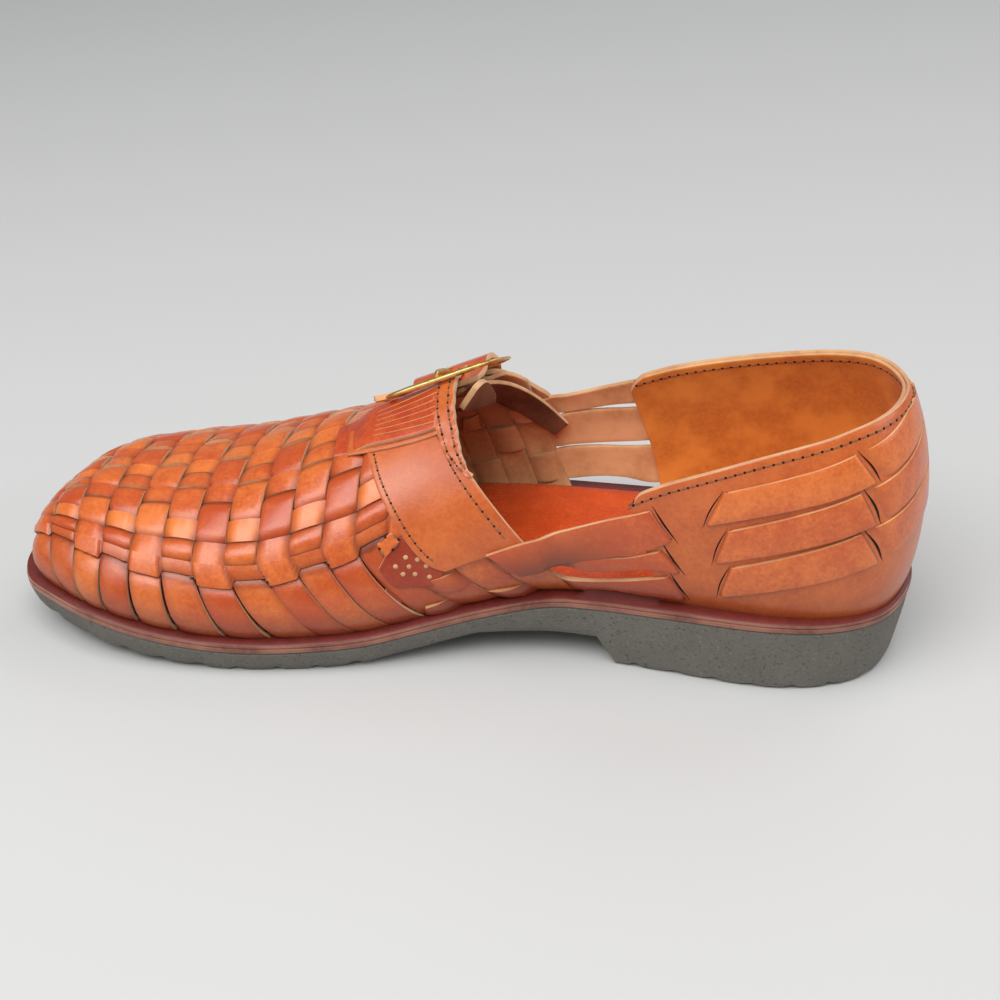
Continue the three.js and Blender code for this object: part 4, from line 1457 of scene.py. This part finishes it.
def build_eyelet():
    """The rim of the hole that the prong goes into."""
    count, radius, y, z = 12, 0.825, -4.4, 3.1
    path = []
    for i in range(count):
        turn = 2 * math.pi * i / count
        path.append(by_buckle(radius * math.cos(turn), y + radius * math.sin(turn), z))
    return tube("eyelet", path, [(0.35, 0.3)] * count, "edge", closed=True, around=6)


def build_strap_end():
    """The strap's end, up through the buckle, over its outer bar and down over the buckle strap."""
    rows = [(by_buckle(-half, y, z), by_buckle(half, y, z)) for y, z, half in STRAP_END_IN_BUCKLE]
    for row in STRAP_END_BELOW:
        rows.append([crown(x, crown_y(x, z, -1), 4.2) for x, z in row])
    rows = np.array(rows)
    run = run_along(rows.mean(1))
    rear, front = ([smooth_curve(run / run[-1], rows[:, edge, i]) for i in range(3)] for edge in (0, 1))

    def shape(u, v):
        a, b = (np.stack([curve(u) for curve in edge], -1) for edge in (rear, front))
        p = a + (b - a) * v[..., None]
        p[..., 1] -= 1.1 * np.sin(math.pi * v) * ease((u - 0.3) * 3)
        # painted shade by the sole
        return p, 0, 0.3 * lowness(p)

    strap = sheet("billet", shape, 60, 22, PANEL, TAB_LEATHER, bevel=0.4, tone=0.4)
    return join([strap, build_eyelet()], "strap_end_looks")


# ---------------------------------------------------------------- stitches
COLLAR_INNER_END = (97, 66)  # x and height where the collar's seam stops on each side
COLLAR_OUTER_END = (98, 72)
THREAD = (0.4, 0.36)  # half the thread's width and height
HOLE = (0.58, 0.52, 0.34)  # half a hole's length, width and depth; the hole is a dark mark of painted shadow


def offset(points, distance):
    """A line of the flattened last moved sideways."""
    points = np.array(points, float)
    way = np.gradient(points, axis=0)
    way /= np.linalg.norm(way, axis=1)[:, None]
    return points + distance * np.column_stack([-way[:, 1], way[:, 0]])


def seam(x, y, lift):
    """A row of places over the flattened last, with their outward directions."""
    return crown(x, y, lift), normal_of(crown_point, x, y)


def stitch_rows():
    """Every seam: its points on the shoe with their outward directions."""
    rows = [
        seam(*edge_curve(offset(PANEL_REAR, 3.0))(np.linspace(0.08, 0.78, 160)), STRAP_OUT),
        seam(*edge_curve(offset(PANEL_FRONT, -1.9))(np.linspace(0.06, 0.8, 160)), STRAP_OUT),
    ]
    t = np.linspace(0.06, 1, 160)
    for share in (0.24, 0.76):
        x, y = part_way(edge_curve(HEM_REAR)(t), edge_curve(HEM_FRONT)(t), share)
        rows.append(seam(x, y, 2.65 + hem_rise(t)))
    w = np.linspace(wrap_of(*COLLAR_INNER_END, 1), wrap_of(*COLLAR_OUTER_END, -1), 400)
    z = collar_top(w) - 2.8
    rows.append((skirt(w, z, 0.05), -normal_of(skirt_point, w, z)))
    rows.append((skirt(w, z, -2.75), normal_of(skirt_point, w, z)))
    for corner, next_corner in zip(SQUARE, SQUARE[1:] + SQUARE[:1]):
        x, y = part_way(corner, next_corner, np.linspace(0.1, 0.9, 20))
        rows.append(seam(x, y, 2.0))
    return rows


def at_run(rows, run, place):
    """The row of a line's table at a place along the line."""
    return np.array([np.interp(place, run, rows[:, i]) for i in range(3)])


def unit_ball():
    """The points and faces of a small round ball."""
    deselect()
    bpy.ops.mesh.primitive_uv_sphere_add(segments=6, ring_count=5, radius=1)
    mesh = bpy.context.object.data
    points = np.array([vertex.co for vertex in mesh.vertices], float)
    faces = [tuple(face.vertices) for face in mesh.polygons]
    bpy.data.objects.remove(bpy.context.object)
    bpy.data.meshes.remove(mesh)
    return points, faces


def build_stitches(pitch):
    """Thread laid from hole to hole, and the dark holes it goes into, painted as shadow."""
    ball, ball_faces = unit_ball()
    points, faces, marks = [], [], []

    def put(centre, way, out, sizes, mark):
        axes = np.array([way, np.cross(out, way), out])
        start = len(points) * len(ball)
        points.append(centre + (ball * sizes) @ axes)
        faces.extend(tuple(start + i for i in face) for face in ball_faces)
        marks.extend([mark] * len(ball_faces))

    for line, outs in stitch_rows():
        run = run_along(line)
        for s in np.arange(pitch / 2, run[-1] - pitch / 2, pitch):
            here, ahead = (at_run(line, run, place) for place in (s - 0.3, s + 0.3))
            way = (ahead - here) / np.linalg.norm(ahead - here)
            out = at_run(outs, run, s)
            out -= way * out.dot(way)
            out /= np.linalg.norm(out)
            middle = (here + ahead) / 2
            put(middle - 0.12 * out, way, out, (pitch * 0.38, *THREAD), 0)
            # the hole: painted shadow
            put(middle - 0.18 * out + way * pitch / 2, way, out, HOLE, 1)
    obj = new_piece("stitches", np.concatenate(points), faces, ["thread", "slit"], marks)
    bpy.ops.object.shade_smooth()
    set_attributes(obj, **PLAIN)
    return obj


# ---------------------------------------------------------------- stage
CAMERA_TARGET = Vector((0.084, 0, 0.0428))
CAMERA_AROUND, CAMERA_UP, CAMERA_ROLL = (math.radians(angle) for angle in (-4.79, 33.5, 0.90))
CAMERA_AWAY = 0.558
CAMERA_LENS, CAMERA_SENSOR = 59.8, 36  # millimetres
FLOOR_SIZE = 6
FLOOR_DROP = 0.0002  # keeps the floor clear of the tread
# Name, place, the place it points at, side and power in watts.
LIGHTS = (
    ("soft light above", (0.25, 0.45, 1.15), (0.08, 0.0, 0.05), 1.1, 15),
    ("soft light in front", (0.75, 0.55, 0.75), (0.12, 0, 0.05), 0.8, 3.5),
    ("soft light behind", (-0.5, -0.8, 0.9), (0.05, 0, 0.05), 1.0, 4),
    ("soft light by the heel", (-0.9, 0.12, 0.5), (-0.03, 0, 0.06), 0.6, 3),
)
SKY_COLOUR, SKY_STRENGTH = (0.9, 0.93, 1.0, 1), 0.2


def build_floor(colour):
    """A plain, faintly mottled floor."""
    deselect()
    bpy.ops.mesh.primitive_plane_add(size=FLOOR_SIZE, location=(0, 0, -FLOOR_DROP))
    floor = bpy.context.object
    floor.name = "floor"
    material, n, shader = new_material("floor", roughness=0.75)
    mottle = n.math("MULTIPLY", n.noise(n.place(), 6, 2), 0.08)
    n.wire(n.mix(mottle, tuple(colour), (0.5, 0.5, 0.5)), shader.inputs["Base Color"])
    floor.data.materials.append(material)


def build_lights(light):
    """Four soft lights and a dim sky."""
    for name, place, target, size, power in LIGHTS:
        bpy.ops.object.light_add(type="AREA", location=place)
        lamp = bpy.context.object
        lamp.name = name
        lamp.data.size = size
        lamp.data.energy = power * light
        lamp.rotation_euler = (Vector(target) - Vector(place)).to_track_quat("-Z", "Y").to_euler()
    world = bpy.data.worlds.new("studio")
    world.use_nodes = True
    sky = world.node_tree.nodes["Background"]
    sky.inputs["Color"].default_value = SKY_COLOUR
    sky.inputs["Strength"].default_value = SKY_STRENGTH * light
    bpy.context.scene.world = world


def build_camera():
    """The camera on the inner side, above the shoe, turned a little about its own line of sight."""
    level = math.cos(CAMERA_UP)
    toward = Vector((math.sin(CAMERA_AROUND) * level, math.cos(CAMERA_AROUND) * level, math.sin(CAMERA_UP)))
    right = (-toward).cross(Vector((0, 0, 1))).normalized()
    up = right.cross(-toward)
    across = math.cos(CAMERA_ROLL) * right + math.sin(CAMERA_ROLL) * up
    upright = math.cos(CAMERA_ROLL) * up - math.sin(CAMERA_ROLL) * right
    bpy.ops.object.camera_add(location=CAMERA_TARGET + CAMERA_AWAY * toward)
    camera = bpy.context.object
    camera.rotation_euler = Matrix((across, upright, toward)).transposed().to_euler()
    camera.data.lens = CAMERA_LENS
    camera.data.sensor_width = CAMERA_SENSOR
    bpy.context.scene.camera = camera
    bpy.context.scene.view_settings.view_transform = "Standard"


# ---------------------------------------------------------------- add-on
class HuaracheSizes(bpy.types.PropertyGroup):
    """What a user may change before building."""

    stitch_pitch: bpy.props.FloatProperty(
        name="Stitch pitch", description="Length of one stitch", default=0.003, min=0.002, max=0.006,
        unit="LENGTH", subtype="DISTANCE")
    seed: bpy.props.IntProperty(
        name="Seed", description="Picks which straps are lighter and which are darker", default=7, min=0)
    light: bpy.props.FloatProperty(
        name="Light", description="Strength of all the lights together", default=1.0, min=0.0,
        subtype="FACTOR")
    floor: bpy.props.FloatVectorProperty(
        name="Floor", description="Colour of the plain floor", default=(0.58, 0.58, 0.57), subtype="COLOR")


def sizes():
    """The scene's own copy of what a user may change."""
    return bpy.context.scene.huarache_sizes


class HUARACHE_OT_sole(bpy.types.Operator):
    """Outsole, welt and insole"""

    bl_idname = "huarache.sole"
    bl_label = "Sole"

    def execute(self, context):
        settle(build_outsole(), "outsole_rubber", "outsole")
        settle(build_welt(), "welt_leather", "midsole")
        settle(build_insole(), "insole_leather", "insole")
        return {"FINISHED"}


class HUARACHE_OT_crosswise(bpy.types.Operator):
    """Straps woven across the vamp"""

    bl_idname = "huarache.crosswise"
    bl_label = "Crosswise straps"

    def execute(self, context):
        rng = random.Random(sizes().seed)
        straps = [cross_strap(k, None, rng.uniform(0, 1)) for k in range(12)]
        for k in range(12, 15):
            straps.append(cross_strap(k, -3.0, rng.uniform(0.1, 0.9)))
        for k, start in ((12, 61.5), (13, 57), (14, 60)):
            straps.append(cross_strap(k, start, rng.uniform(0.1, 0.6)))
        settle(join(straps, "crosswise_straps"), "woven_leather", "upper")
        return {"FINISHED"}


class HUARACHE_OT_lengthwise(bpy.types.Operator):
    """Slit straps woven along the vamp"""

    bl_idname = "huarache.lengthwise"
    bl_label = "Lengthwise straps"

    def execute(self, context):
        rng = random.Random(sizes().seed + 1)
        backs = [160, 160, 160, 160, 160, 158, 157, 157, 151, 146, 140, 134, 150, 150]
        tones = [rng.uniform(0.2, 1) for _ in range(HALF_ROWS // 2)]
        straps = [length_strap(r, backs[r], tones[r // 2]) for r in range(HALF_ROWS)]
        settle(join(straps, "lengthwise_straps"), "woven_leather", "upper")
        return {"FINISHED"}


class HUARACHE_OT_waist(bpy.types.Operator):
    """Straps along both sides of the waist"""

    bl_idname = "huarache.waist"
    bl_label = "Waist straps"

    def execute(self, context):
        rng = random.Random(sizes().seed + 2)
        for side in ("inner", "outer"):
            straps = []
            for i, place in enumerate(("upper", "middle", "lower")):
                name = f"{side}_{place}"
                straps.append(waist_strap(name, i + 1, rng.uniform(0.0, 0.4)))
                straps.append(slit(WAIST_STRAPS[name][0], *WAIST_SLITS[name], bend=-0.3, width=0.75))
            settle(join(straps, f"waist_straps_{side}"), "woven_leather", "upper")
        return {"FINISHED"}


class HUARACHE_OT_counter(bpy.types.Operator):
    """Heel counter, its lining and the bands let through it"""

    bl_idname = "huarache.counter"
    bl_label = "Counter"

    def execute(self, context):
        shell = sheet("heel_counter", counter_shape(0.0), 220, 40, 1.3, PANEL_LEATHER, bevel=0.35)
        settle(shell, "woven_leather", "upper")
        lining_faces = ("edge", "lining", "edge")
        lining = sheet("heel_lining", counter_shape(-1.45), 220, 40, 1.2, lining_faces, bevel=0.35)
        settle(lining, "woven_leather", "upper")
        rng = random.Random(sizes().seed + 3)
        extras = []
        for side, word in ((1, "inner"), (-1, "outer")):
            for i, corners in enumerate(HEEL_BANDS):
                name = f"heel_band_{word}_{i + 1}"
                band = heel_band(name + "_looks", side, corners, rng.uniform(0.2, 0.7))
                settle(band, "strap_leather", name)
                front_top, rear_top, rear_low, front_low = corners
                extras.append(slit(side, rear_top, rear_low, bend=0.9, width=0.9))
                extras.append(slit(side, front_top, front_low, bend=-0.7, width=0.45))
                extras.append(wrap_strap(side, corners, rng.uniform(0.2, 0.6)))
        settle(join(extras, "heel_wraps"), "strap_leather")
        return {"FINISHED"}


class HUARACHE_OT_instep(bpy.types.Operator):
    """Panel, buckle strap, grooved tab, patch and strap end"""

    bl_idname = "huarache.instep"
    bl_label = "Instep straps"

    def execute(self, context):
        settle(build_panel(), "strap_leather", "instep_panel")
        settle(build_buckle_strap(), "strap_leather", "buckle_strap")
        settle(build_t_strap(), "strap_leather", "t_strap")
        settle(build_strap_end(), "strap_leather", "strap_end")
        settle(build_patch(), "patch_leather", "punched_patch")
        return {"FINISHED"}


class HUARACHE_OT_buckle(bpy.types.Operator):
    """Brass frame and prong"""

    bl_idname = "huarache.buckle"
    bl_label = "Buckle"

    def execute(self, context):
        settle(build_frame(), "buckle_brass", "buckle_frame")
        settle(build_prong(), "buckle_brass", "buckle_prong")
        return {"FINISHED"}


class HUARACHE_OT_stitches(bpy.types.Operator):
    """Every seam's thread"""

    bl_idname = "huarache.stitches"
    bl_label = "Stitches"

    def execute(self, context):
        settle(build_stitches(sizes().stitch_pitch / MM), "strap_leather")
        return {"FINISHED"}


class HUARACHE_OT_stage(bpy.types.Operator):
    """Floor, lights and camera"""

    bl_idname = "huarache.stage"
    bl_label = "Stage"

    def execute(self, context):
        build_floor(sizes().floor)
        build_lights(sizes().light)
        build_camera()
        return {"FINISHED"}


STEPS_IN_ORDER = (
    "sole", "crosswise", "lengthwise", "waist", "counter", "instep", "buckle", "stitches", "stage",
)


class HUARACHE_PT_panel(bpy.types.Panel):
    """What may be changed, and a button for each step"""

    bl_idname = "HUARACHE_PT_panel"
    bl_label = "Huarache shoe"
    bl_space_type = "VIEW_3D"
    bl_region_type = "UI"
    bl_category = "Huarache"

    def draw(self, context):
        for name in ("stitch_pitch", "seed", "light", "floor"):
            self.layout.prop(context.scene.huarache_sizes, name)
        for step in STEPS_IN_ORDER:
            self.layout.operator("huarache." + step)


CLASSES = (
    HuaracheSizes, HUARACHE_OT_sole, HUARACHE_OT_crosswise, HUARACHE_OT_lengthwise, HUARACHE_OT_waist,
    HUARACHE_OT_counter, HUARACHE_OT_instep, HUARACHE_OT_buckle, HUARACHE_OT_stitches, HUARACHE_OT_stage,
    HUARACHE_PT_panel,
)


def register():
    for cls in CLASSES:
        bpy.utils.register_class(cls)
    bpy.types.Scene.huarache_sizes = bpy.props.PointerProperty(type=HuaracheSizes)


def unregister():
    del bpy.types.Scene.huarache_sizes
    for cls in reversed(CLASSES):
        bpy.utils.unregister_class(cls)


def main():
    register()
    make_finishes()
    for step in STEPS_IN_ORDER:
        getattr(bpy.ops.huarache, step)()


if __name__ == "__main__":
    main()
